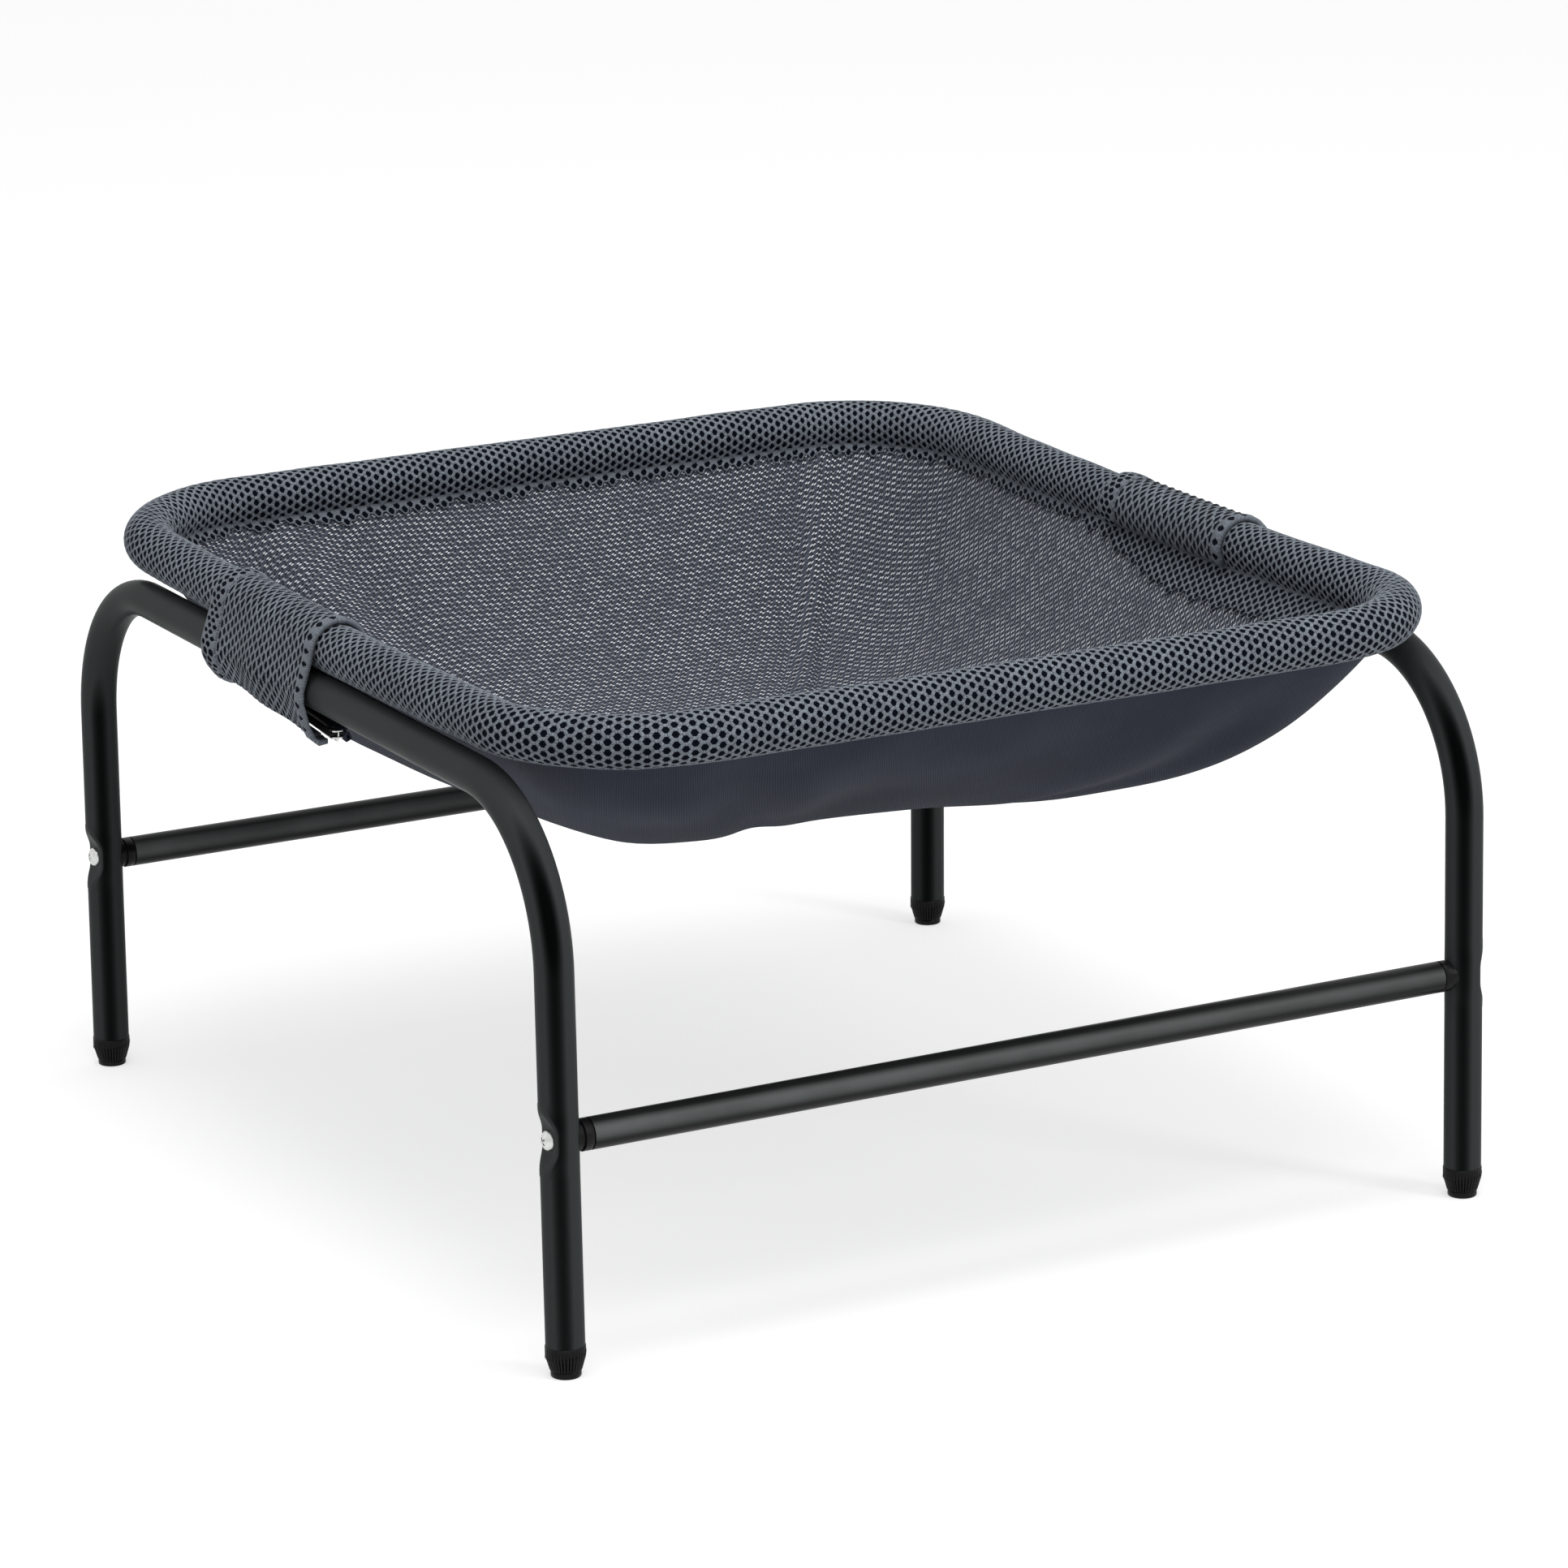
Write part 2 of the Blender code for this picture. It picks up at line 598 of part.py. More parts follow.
def rim_stations(extra_places=()):
    """Return points round the rim's axis in plan, each with its outward direction.

    extra_places adds points at set distances from the middle of the front and rear stretches.
    """
    stations = []
    corners = list(rim_corners())
    for index, (centre, start_angle) in enumerate(corners):
        for step in range(RIM_CORNER_STEPS + 1):
            angle = start_angle + math.pi / 2 * step / RIM_CORNER_STEPS
            outward = Vector((math.cos(angle), math.sin(angle), 0))
            stations.append((centre + outward * RIM_CORNER_RADIUS, outward))
        next_centre = corners[(index + 1) % 4][0]
        start = centre + outward * RIM_CORNER_RADIUS
        end = next_centre + outward * RIM_CORNER_RADIUS
        shares = [step / RIM_SIDE_STEPS for step in range(1, RIM_SIDE_STEPS)]
        if abs(outward.y) > abs(outward.x):
            length = (end - start).length
            shares = [0.5] + [0.5 + place / length for place in extra_places]
            shares = sorted(share for share in shares if 0 < share < 1)
        stations += [(start.lerp(end, share), outward) for share in shares]
    return stations


def rim_point(station, angle, radius):
    """Return a point near the rim: an angle of zero points outward and a right angle points up."""
    place, outward = station
    centre = Vector((place.x, place.y, rim_height(place.y)))
    return centre + outward * (radius * math.cos(angle)) + Vector((0, 0, radius * math.sin(angle)))


def rim_shell_rows(radius, inner_radius=None):
    """Return rows round the rim for a shell with a slit along the seam.

    With an inner radius each row goes back along it, so that the rows close round a thick wall.
    """
    start = math.pi + SLEEVE_SEAM_ANGLE + RIM_SLIT_ANGLE / 2
    angles = [start + 2 * RIM_HALF_STEP * step for step in range(RIM_SECTION_STEPS + 1)]
    section = [(angle, radius) for angle in angles]
    if inner_radius is not None:
        section = section[::-1] + [(angle, inner_radius) for angle in angles]
        section.append(section[0])
    stations = rim_stations()
    stations.append(stations[0])
    return [[rim_point(station, angle, reach) for angle, reach in section] for station in stations]


def build_rim(bed):
    """Add the rim's steel ring, the slit foam tube round it and the mesh sleeve round both."""
    core_points = [rim_point(station, 0.0, 0.0) for station in rim_stations()]
    core_radius = RIM_CORE_DIAMETER / 2
    core = path_curve(core_points, core_radius, (RIM_CORE_SIDES - 4) // 2, cyclic=True)
    bed.add("rim_core_ring", core, "bare_steel")
    flat_share = math.cos(RIM_HALF_STEP)
    foam_radius = RIM_RADIUS - (AIR_MESH_THICKNESS + TOUCH_GAP) / flat_share
    foam_rows = rim_shell_rows(foam_radius, (core_radius + TOUCH_GAP) / flat_share)
    bed.add("rim_foam_tube", sheet_mesh(foam_rows, weld=True), "foam")
    sleeve = bed.add("rim_mesh_sleeve", sheet_mesh(rim_shell_rows(RIM_RADIUS), weld=True), "air_mesh")
    thicken(sleeve, AIR_MESH_THICKNESS, offset=1.0)


def fold_press(place, share):
    """Return how far the cloth is pressed in at a fold near a corner of the front or rear edge."""
    if share >= FOLD_START_SHARE or share <= FOLD_END_SHARE:
        return 0.0
    if share > FOLD_PEAK_SHARE:
        fade = (FOLD_START_SHARE - share) / (FOLD_START_SHARE - FOLD_PEAK_SHARE)
    else:
        fade = (share - FOLD_END_SHARE) / (FOLD_PEAK_SHARE - FOLD_END_SHARE)
    reach = (abs(place.x) - FOLD_OFFSET) / FOLD_HALF_WIDTH
    on_end = abs(place.y) > RIM_DEPTH / 2 - RIM_CORNER_RADIUS
    if not on_end or abs(place.x) < FOLD_OFFSET / 2:
        return 0.0
    return FOLD_DEPTH * math.sin(fade * math.pi / 2) * (1 - 2 * reach ** 2) * math.exp(-reach ** 2)


def sling_point(station, share):
    """Return a point of the sling's middle surface; a share of 1 is the seam and 0 the centre."""
    place, outward = station
    seam_radius = RIM_RADIUS + SLING_SEAM_GAP
    seam = rim_point(station, math.pi + SLEEVE_SEAM_ANGLE, seam_radius)
    across = seam.x * share
    along = seam.y * share
    swell = 1 + SLING_RIGHT_SWELL_SHARE * across / (RIM_WIDTH / 2)
    swell += SLING_BACK_SWELL_SHARE * along / (RIM_DEPTH / 2)
    drop = SLING_DEPTH * swell * (1 - share ** SLING_WALL_POWER)
    side_seam = RIM_SIDE_HEIGHT - seam_radius * math.sin(SLEEVE_SEAM_ANGLE)
    level = side_seam + (seam.z - side_seam) * share
    press = fold_press(place, share)
    return Vector((across, along, level - drop + press / 2)) - outward * press


def sling_rows(offset):
    """Return the sling's rings of points, moved off its middle surface by an offset; plus is up."""
    places = [side * FOLD_OFFSET + share * FOLD_HALF_WIDTH
              for side in SIDES.values() for share in FOLD_COLUMN_SHARES]
    stations = rim_stations(places)
    rows = []
    for share in SLING_RING_SHARES:
        row = []
        for index, station in enumerate(stations):
            point = sling_point(station, share)
            normal = Vector((0, 0, 1))
            if share > 0:
                after = sling_point(stations[(index + 1) % len(stations)], share)
                before = sling_point(stations[index - 1], share)
                inner = sling_point(station, share * SLING_SLOPE_SHARE)
                normal = (after - before).cross(inner - point).normalized()
            row.append(point + normal * offset)
        rows.append(row + row[:1])
    return rows


def build_sling(bed):
    """Add the sling's inner mesh layer and its outer woven layer."""
    inner = bed.add(
        "sling_inner_layer",
        sheet_mesh(sling_rows(SLING_LAYER_GAP / 2), weld=True),
        "fleck_mesh",
    )
    outer = bed.add(
        "sling_outer_layer",
        sheet_mesh(sling_rows(-SLING_LAYER_GAP / 2), weld=True),
        "woven_cloth",
    )
    thicken(inner, SLING_INNER_THICKNESS, offset=1.0)
    thicken(outer, SLING_OUTER_THICKNESS, offset=-1.0)


def zip_point(depth_share):
    """Return the zip line's distance inward of the tube's axis and its height.

    A share of 0 is the flap's front edge and 1 its rear edge.
    """
    drop = ZIP_FRONT_DROP + (ZIP_REAR_DROP - ZIP_FRONT_DROP) * depth_share
    return RIM_INSET - ZIP_INSET, TUBE_BOTTOM - drop


def circle_point(centre, radius, angle):
    """Return a point of a circle in a cross section, as outward and height values."""
    return centre[0] + radius * math.cos(angle), centre[1] + radius * math.sin(angle)


def arc_round(centre, radius, start, end, steps):
    """Return the points of an arc whose chords stay outside the circle."""
    reach = radius / math.cos((end - start) / steps / 2)
    return [circle_point(centre, reach, start + (end - start) * step / steps) for step in range(steps + 1)]


def flap_section(depth, depth_share):
    """Return the flap's cross section: over the rim, down round the tube and in to the zip."""
    half = AIR_MESH_THICKNESS / 2
    rim_centre = (-RIM_INSET, rim_height(depth))
    tube_centre = (0.0, FRAME_TOP_HEIGHT)
    rim_radius = RIM_RADIUS + TOUCH_GAP + half
    tube_radius = TUBE_RADIUS + TOUCH_GAP + half
    span_x = tube_centre[0] - rim_centre[0]
    span_z = tube_centre[1] - rim_centre[1]
    span = math.hypot(span_x, span_z)
    tangent = math.atan2(span_z, span_x) + math.acos((rim_radius - tube_radius) / span)
    inset, height = zip_point(depth_share)
    edge_x = -inset + ZIP_COIL_GAP / 2 + ZIP_TAPE_WIDTH + TOUCH_GAP
    corner = (edge_x + FLAP_HEM, height)
    reach = math.hypot(corner[0] - tube_centre[0], corner[1] - tube_centre[1])
    leave = math.atan2(corner[1] - tube_centre[1], corner[0] - tube_centre[0])
    leave += math.acos(tube_radius / reach)
    points = arc_round(rim_centre, rim_radius, FLAP_ROOT_ANGLE, tangent, FLAP_RIM_STEPS)
    points += arc_round(tube_centre, tube_radius, tangent, leave, FLAP_TUBE_STEPS)
    return points + [corner, (edge_x, height)]


def strip_section(depth, depth_share):
    """Return the inner strip's cross section, from under the rim down to the zip."""
    rim_centre = (-RIM_INSET, rim_height(depth))
    tube_radius = TUBE_RADIUS + TOUCH_GAP + STRIP_THICKNESS
    inset, height = zip_point(depth_share)
    start = circle_point(rim_centre, RIM_RADIUS + SLING_SEAM_GAP, STRIP_ROOT_ANGLE)
    edge = (-inset - ZIP_COIL_GAP / 2 - ZIP_TAPE_WIDTH - TOUCH_GAP, height)
    corner = (edge[0] - STRIP_HEM, height)
    beside = (-tube_radius - STRIP_THICKNESS, FRAME_TOP_HEIGHT)
    return [start, beside, corner, edge]


def flap_rows(side_name, section):
    """Return rows of points along a flap from a cross section function."""
    side = SIDES[side_name]
    rows = []
    for row in range(FLAP_ROWS + 1):
        share = row / FLAP_ROWS
        depth = FLAP_CENTRES[side_name] + (share - 0.5) * FLAP_WIDTH
        points = section(depth, share)
        rows.append([Vector((side * (FRAME_OFFSET + out), depth, height)) for out, height in points])
    return rows


def zip_frame(side_name):
    """Return the zip line's middle point and the turn that lays a piece's own Z along it.

    The piece's own X stays along the bed's X, and its own Y points down.
    """
    side = SIDES[side_name]
    inset, height = zip_point(0.5)
    middle = Vector((side * (FRAME_OFFSET - inset), FLAP_CENTRES[side_name], height))
    return middle, Matrix.Rotation(ZIP_SLOPE - math.pi / 2, 4, "X")


def build_zip_tape(bed, side_name, part_name, toward):
    """Add one half of a zip: a tape whose inner edge carries the coil as one thick bead."""
    near = ZIP_COIL_GAP / 2
    coil = near + ZIP_COIL_WIDTH
    far = near + ZIP_TAPE_WIDTH
    bead = ZIP_COIL_HEIGHT / 2
    tape = ZIP_TAPE_THICKNESS / 2
    outline = [(near, -bead), (coil, -bead), (coil, -tape), (far, -tape),
               (far, tape), (coil, tape), (coil, bead), (near, bead)]
    direction = toward * SIDES[side_name]
    outline = [(direction * across, down) for across, down in outline]
    middle, turn = zip_frame(side_name)
    length = ZIP_RUN / math.cos(ZIP_SLOPE)
    name = side_name + "_zip_" + part_name + "_tape"
    bed.add(name, outline_curve([outline], length), "zip_tape", location=middle, turn=turn)


def build_slider(bed, side_name):
    """Add a zip's slider: two plates on a web between the coils, with a bridge for the pull."""
    middle, turn = zip_frame(side_name)
    web = ZIP_COIL_GAP - 2 * SLIDER_RUNNING_GAP
    rest = -ZIP_RUN / 2 / math.cos(ZIP_SLOPE) + SLIDER_LENGTH / 2 - SLIDER_FRONT_OVERHANG
    place = middle + turn @ Vector((0, 0, rest))
    plate = box_mesh(SLIDER_WIDTH, SLIDER_PLATE, SLIDER_LENGTH)
    level = SLIDER_HALF_OPENING + SLIDER_PLATE / 2
    upper_place = place + turn @ Vector((0, -level, 0))
    slider = bed.add(side_name + "_zip_slider", plate, "zip_metal", location=upper_place, turn=turn)
    web_mesh = box_mesh(web, 2 * level, SLIDER_LENGTH - 2 * SLIDER_PLATE)
    join_shape(slider, bed.add_cutter(side_name + "_slider_web", web_mesh, place, turn), "UNION")
    lower = bed.add_cutter(side_name + "_slider_plate", plate.copy(), place - (upper_place - place), turn)
    join_shape(slider, lower, "UNION")
    foot = SLIDER_HALF_HEIGHT - BRIDGE_RADIUS
    shoulder = (PULL_AXIS_DROP + BRIDGE_DROP) / 2
    path = [
        (0, foot, -BRIDGE_HALF_LENGTH),
        (0, shoulder, -BRIDGE_HALF_LENGTH + BRIDGE_RADIUS / 2),
        (0, BRIDGE_DROP, -BRIDGE_HALF_LENGTH / 2),
        (0, BRIDGE_DROP, BRIDGE_HALF_LENGTH / 2),
        (0, shoulder, BRIDGE_HALF_LENGTH - BRIDGE_RADIUS / 2),
        (0, foot, BRIDGE_HALF_LENGTH),
    ]
    bridge = bed.add_cutter(
        side_name + "_slider_bridge",
        mesh_of_curve(path_curve(path, BRIDGE_RADIUS, 1, caps=True)),
        location=place,
        turn=turn,
    )
    join_shape(slider, bridge, "UNION")
    return place, turn


def build_pull(bed, side_name, place, turn):
    """Add a zip's pull: a flat tab whose end bar hangs in the slider's bridge."""
    hinge = place + turn @ Vector((0, PULL_AXIS_DROP, 0))
    half = PULL_WIDTH / 2
    start = -PULL_THICKNESS / 2
    tip = PULL_LENGTH
    chamfer = half / 2
    plate = [(-half, start), (half, start), (half, tip - chamfer), (half - chamfer, tip),
             (chamfer - half, tip), (-half, tip - chamfer)]
    window = PULL_WINDOW_WIDTH / 2
    low = PULL_THICKNESS / 2
    hole = [(-window, low), (window, low), (window, PULL_WINDOW_LENGTH), (-window, PULL_WINDOW_LENGTH)]
    curve = outline_curve([plate, hole], PULL_THICKNESS)
    lay_flat = Matrix.Rotation(ZIP_SLOPE, 4, "X")
    bed.add(side_name + "_zip_pull", curve, "zip_metal", location=hinge, turn=lay_flat)


def build_flap(bed, side_name):
    """Add one flap, the strip on its inner side and the zip that joins them."""
    flap_mesh = sheet_mesh(flap_rows(side_name, flap_section))
    strip_mesh = sheet_mesh(flap_rows(side_name, strip_section))
    thicken(bed.add(side_name + "_flap", flap_mesh, "air_mesh"), AIR_MESH_THICKNESS, offset=0.0)
    thicken(bed.add(side_name + "_inner_strip", strip_mesh, "woven_cloth"), STRIP_THICKNESS, offset=0.0)
    build_zip_tape(bed, side_name, "outer", 1)
    build_zip_tape(bed, side_name, "inner", -1)
    place, turn = build_slider(bed, side_name)
    build_pull(bed, side_name, place, turn)


def main():
    """Build the whole bed."""
    clear_scene()
    bed = Bed()
    for side_name in SIDES:
        build_side_frame(bed, side_name)
    for end_name in ENDS:
        build_rail(bed, end_name)
        for side_name in SIDES:
            build_plug(bed, side_name, end_name)
            build_nut(bed, side_name, end_name)
            build_screw(bed, side_name, end_name)
            build_foot_cap(bed, side_name, end_name)
    build_rim(bed)
    build_sling(bed)
    for side_name in SIDES:
        build_flap(bed, side_name)


main()
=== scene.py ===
"""Dressed model of the elevated pet bed.

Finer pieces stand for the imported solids: bent tubes with pressed screw seats, ribbed foot caps, a rim and
side flaps of holed spacer mesh, a hammock of two cloth layers and its zips. Lengths are in metres. +X is
the bed's right, -Y its front and +Z is up.
"""

import json
import logging
import math
from dataclasses import dataclass, field, replace
from enum import Enum
from functools import cache
from typing import Callable, Sequence

import bmesh
import bpy
from mathutils import Matrix, Vector, noise


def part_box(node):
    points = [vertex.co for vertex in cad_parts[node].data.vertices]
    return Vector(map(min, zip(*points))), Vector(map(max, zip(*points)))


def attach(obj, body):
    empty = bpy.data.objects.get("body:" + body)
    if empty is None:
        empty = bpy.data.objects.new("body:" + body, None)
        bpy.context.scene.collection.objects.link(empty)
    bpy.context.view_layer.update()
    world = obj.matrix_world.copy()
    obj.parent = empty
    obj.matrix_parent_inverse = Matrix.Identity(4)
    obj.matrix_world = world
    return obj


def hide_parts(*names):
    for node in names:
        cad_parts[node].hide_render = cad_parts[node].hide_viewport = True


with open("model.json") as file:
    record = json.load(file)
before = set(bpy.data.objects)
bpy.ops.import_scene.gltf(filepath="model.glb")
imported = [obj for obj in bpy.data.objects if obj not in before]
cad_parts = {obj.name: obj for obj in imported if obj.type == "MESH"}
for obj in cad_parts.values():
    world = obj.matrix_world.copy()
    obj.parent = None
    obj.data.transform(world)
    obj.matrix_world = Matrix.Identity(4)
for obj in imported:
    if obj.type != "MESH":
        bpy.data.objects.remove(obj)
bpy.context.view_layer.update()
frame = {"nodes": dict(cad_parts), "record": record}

LOG = logging.getLogger("pet_bed")
WELD = 0.00001
UP = Vector((0, 0, 1))
SHARP_TURN = math.radians(50.0)
CELL_CORNERS = 6

Placer = Callable[[float, float, float], Vector]
Socket = bpy.types.NodeSocket


class Side(Enum):
    """The bed's left or right, with its sign along X."""

    LEFT = -1
    RIGHT = 1

    @property
    def word(self) -> str:
        """The side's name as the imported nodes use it."""
        return self.name.lower()


class End(Enum):
    """The bed's front or rear, with its sign along Y."""

    FRONT = -1
    REAR = 1

    @property
    def word(self) -> str:
        """The end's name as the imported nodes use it."""
        return self.name.lower()


@dataclass(frozen=True)
class BedSizes:
    """Main sizes of the bed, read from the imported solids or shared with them."""

    tube_radius: float
    frame_offset: float
    top_height: float
    rail_radius: float
    rail_height: float
    rail_reach: float
    rail_depth: float
    rim_width: float
    rim_depth: float
    leg_slope: float = 0.0036 / 0.2745
    bend_radius: float = 0.0780
    rim_radius: float = 0.0130
    rim_end_rise: float = 0.0050
    rim_corner_radius: float = 0.0770
    seam_angle: float = math.radians(240.0)
    seam_gap: float = 0.0006
    cloth: float = 0.0022
    gap: float = 0.0003

    @classmethod
    def from_frame(cls) -> "BedSizes":
        """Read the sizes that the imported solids' boxes give.

        Returns:
            The bed's sizes.
        """
        tube_low, tube_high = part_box("right_side_frame")
        rail_low, rail_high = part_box("rear_cross_rail")
        sleeve_low, sleeve_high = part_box("rim_mesh_sleeve")
        tube_radius = (tube_high.x - tube_low.x) / 2
        return cls(
            tube_radius=tube_radius,
            frame_offset=(tube_high.x + tube_low.x) / 2,
            top_height=tube_high.z - tube_radius,
            rail_radius=(rail_high.z - rail_low.z) / 2,
            rail_height=(rail_high.z + rail_low.z) / 2,
            rail_reach=rail_high.x,
            rail_depth=(rail_high.y + rail_low.y) / 2,
            rim_width=sleeve_high.x - sleeve_low.x - 2 * cls.rim_radius,
            rim_depth=sleeve_high.y - sleeve_low.y - 2 * cls.rim_radius,
        )

    @property
    def leg_lean(self) -> float:
        """The angle that a leg leans out from upright."""
        return math.atan(self.leg_slope)

    @property
    def rim_inset(self) -> float:
        """How far the rim's axis lies inward of the tube's axis at the bed's sides."""
        return self.frame_offset - self.rim_width / 2

    @property
    def rim_side_height(self) -> float:
        """The height of the rim's axis at the middle of the bed's sides."""
        seat = self.tube_radius + self.rim_radius + self.gap
        return self.top_height + math.sqrt(seat ** 2 - self.rim_inset ** 2)

    def leg_offset(self, height: float) -> float:
        """Return how far a leg's axis lies from the bed's middle, along Y, at a height."""
        return self.rail_depth + self.leg_slope * (self.rail_height - height)

    def rim_height(self, depth: float) -> float:
        """Return the height of the rim's axis at a place along Y; its ends rise a little."""
        return self.rim_side_height + self.rim_end_rise * (depth / (self.rim_depth / 2)) ** 2


class NodeSheet:
    """A shader node tree with short ways to add and link its nodes."""

    def __init__(self, tree: bpy.types.NodeTree) -> None:
        """Keep the tree and start with no nodes."""
        self.tree = tree
        tree.nodes.clear()

    def add(self, kind: str, values: dict | None = None, **settings: object) -> bpy.types.Node:
        """Add a node, set its properties and fill or link its inputs.

        Args:
            kind: The node's type, without the ShaderNode prefix.
            values: Input names or numbers, each with a constant or the socket to link.
            **settings: The node's own properties.

        Returns:
            The new node.
        """
        node = self.tree.nodes.new("ShaderNode" + kind)
        for name, setting in settings.items():
            setattr(node, name, setting)
        for name, value in (values or {}).items():
            self.feed(node.inputs[name], value)
        return node

    def feed(self, socket: Socket, value: object) -> None:
        """Link a socket to another, or give it a constant.

        Args:
            socket: The input.
            value: A constant, or the socket to link.
        """
        if isinstance(value, bpy.types.NodeSocket):
            self.tree.links.new(value, socket)
        else:
            socket.default_value = value

    def show(self, kind: str, shader: bpy.types.Node) -> None:
        """End the tree with an output node of a kind, fed by a shader."""
        self.feed(self.add(kind).inputs["Surface"], shader.outputs[0])

    def math(self, operation: str, *given: object) -> Socket:
        """Return the output of a math node with the given inputs."""
        return self.add("Math", dict(enumerate(given)), operation=operation).outputs[0]

    def mix(self, share: object, first: object, second: object) -> Socket:
        """Return a colour between two colours."""
        return self.add("Mix", {0: share, 6: first, 7: second}, data_type="RGBA").outputs[2]

    def span(self, value: object, low: float, high: float, start: float = 0.0, end: float = 1.0) -> Socket:
        """Return a value mapped smoothly from one range to another."""
        values = {"Value": value, "From Min": low, "From Max": high, "To Min": start, "To Max": end}
        return self.add("MapRange", values, interpolation_type="SMOOTHSTEP").outputs["Result"]

    def group(self, tree: bpy.types.NodeTree, values: dict) -> dict[str, Socket]:
        """Add a node group with its inputs and return its outputs by name."""
        return dict(self.add("Group", values, node_tree=tree).outputs.items())

    def clouds(self, vector: Socket, size: float, grain: float) -> tuple[Socket, Socket]:
        """Return patches of a size and a grain of another over the surface."""
        made = self.group(soft_patches(), {"Vector": vector, "Size": size, "Grain": grain})
        return made["Patches"], made["Grain"]


def start_group(name: str, inputs: Sequence[str], outputs: Sequence[str]) -> tuple[NodeSheet, dict, dict]:
    """Start a node group with named sockets.

    Args:
        name: The group's name.
        inputs: Names of its inputs: Vector is a vector and the others are values.
        outputs: Names of its value outputs.

    Returns:
        The sheet, the group's input sockets by name and its output node's sockets by name.
    """
    tree = bpy.data.node_groups.new(name, "ShaderNodeTree")
    for label in inputs:
        kind = "NodeSocketVector" if label == "Vector" else "NodeSocketFloat"
        tree.interface.new_socket(label, in_out="INPUT", socket_type=kind)
    for label in outputs:
        tree.interface.new_socket(label, in_out="OUTPUT", socket_type="NodeSocketFloat")
    sheet = NodeSheet(tree)
    entry = tree.nodes.new("NodeGroupInput")
    leave = tree.nodes.new("NodeGroupOutput")
    return sheet, dict(entry.outputs.items()), dict(leave.inputs.items())


@cache
def soft_patches() -> bpy.types.NodeTree:
    """Return soft uneven patches, as of handling or dye and, on the woven cloth, of painted highlight, with a
    finer grain on top.

    Returns:
        The group's tree, built once.
    """
    noises = (("Size", 4.0, 0.55), ("Grain", 2.0, 0.6))
    patch_span = (0.3, 0.7)
    sheet, given, made = start_group("soft_patches", ("Vector", "Size", "Grain"), ("Patches", "Grain"))
    levels = []
    for size, detail, roughness in noises:
        values = {"Vector": given["Vector"], "Scale": sheet.math("DIVIDE", 1.0, given[size]),
                  "Detail": detail, "Roughness": roughness}
        levels.append(sheet.add("TexNoise", values).outputs[0])
    sheet.feed(made["Patches"], sheet.span(levels[0], *patch_span))
    sheet.feed(made["Grain"], levels[1])
    return sheet.tree


@cache
def woven_ribs() -> bpy.types.NodeTree:
    """Return woven ribs: threads that cross at a right angle, one set lower than the other, with the valleys
    marked for painted shade.

    Returns:
        The group's tree, built once.
    """
    inputs = ("Vector", "Pitch", "Cross Pitch", "Turn")
    cross_share, height_share = 0.35, 0.37
    valley_shade_span = (-1.3, 0.1, 1.0, 0.0)
    sheet, given, made = start_group("woven_ribs", inputs, ("Height", "Valley"))
    values = {"Vector": given["Vector"], "Angle": given["Turn"]}
    turned = sheet.add("VectorRotate", values, rotation_type="Z_AXIS")
    parts = sheet.add("SeparateXYZ", {0: turned.outputs[0]}).outputs
    waves = []
    for part, pitch in ((parts[0], "Pitch"), (parts[1], "Cross Pitch")):
        turns = sheet.math("DIVIDE", sheet.math("MULTIPLY", part, 2 * math.pi), given[pitch])
        waves.append(sheet.math("SINE", turns))
    height = sheet.math("MULTIPLY_ADD", waves[1], cross_share, waves[0])
    sheet.feed(made["Height"], sheet.math("MULTIPLY_ADD", height, height_share, 0.5))
    sheet.feed(made["Valley"], sheet.span(height, *valley_shade_span))
    return sheet.tree


@cache
def dash_pairs() -> bpy.types.NodeTree:
    """Return staggered flecks of two slanted dashes, with small pits and a sunk line beside them, which the
    cloth darkens with painted shade.

    Returns:
        The group's tree, built once.
    """
    dashes = (((-0.11, 0.13), (0.24, 0.115)), ((0.13, -0.12), (0.24, 0.115)))
    pits = (((-0.21, -0.20), (0.19, 0.15)), ((0.23, 0.21), (0.19, 0.15)))
    jitter, nearest = 0.2, 0.4
    line_span, line_depth = (0.26, 0.46), 0.5
    sheet, given, made = start_group("dash_pairs", ("Vector", "Pitch", "Row"), ("Dash", "Pit", "Strength"))
    parts = sheet.add("SeparateXYZ", {0: given["Vector"]}).outputs
    rows = sheet.math("DIVIDE", parts[1], given["Row"])
    row = sheet.math("FLOOR", rows)
    stagger = sheet.math("MULTIPLY", sheet.math("FLOORED_MODULO", row, 2.0), 0.5)
    places = sheet.math("ADD", sheet.math("DIVIDE", parts[0], given["Pitch"]), stagger)
    place = sheet.math("FLOOR", places)
    cell = sheet.add("CombineXYZ", {0: place, 1: row}).outputs[0]
    chance = sheet.add("TexWhiteNoise", {"Vector": cell}, noise_dimensions="2D").outputs
    stray = sheet.add("SeparateXYZ", {0: chance["Color"]}).outputs
    spot = [sheet.math("SUBTRACT", sheet.math("SUBTRACT", whole, floor),
                       sheet.math("MULTIPLY_ADD", stray[axis], jitter, nearest))
            for axis, (whole, floor) in enumerate(((places, place), (rows, row)))]
    away = sheet.math("ABSOLUTE", spot[1])
    line = sheet.math("MULTIPLY", sheet.span(away, *line_span), line_depth)
    pit = sheet.math("MAXIMUM", *(slanted_stroke(sheet, spot, *pit) for pit in pits))
    sheet.feed(made["Dash"], sheet.math("MAXIMUM", *(slanted_stroke(sheet, spot, *dash) for dash in dashes)))
    sheet.feed(made["Pit"], sheet.math("MAXIMUM", pit, line))
    sheet.feed(made["Strength"], chance["Value"])
    return sheet.tree


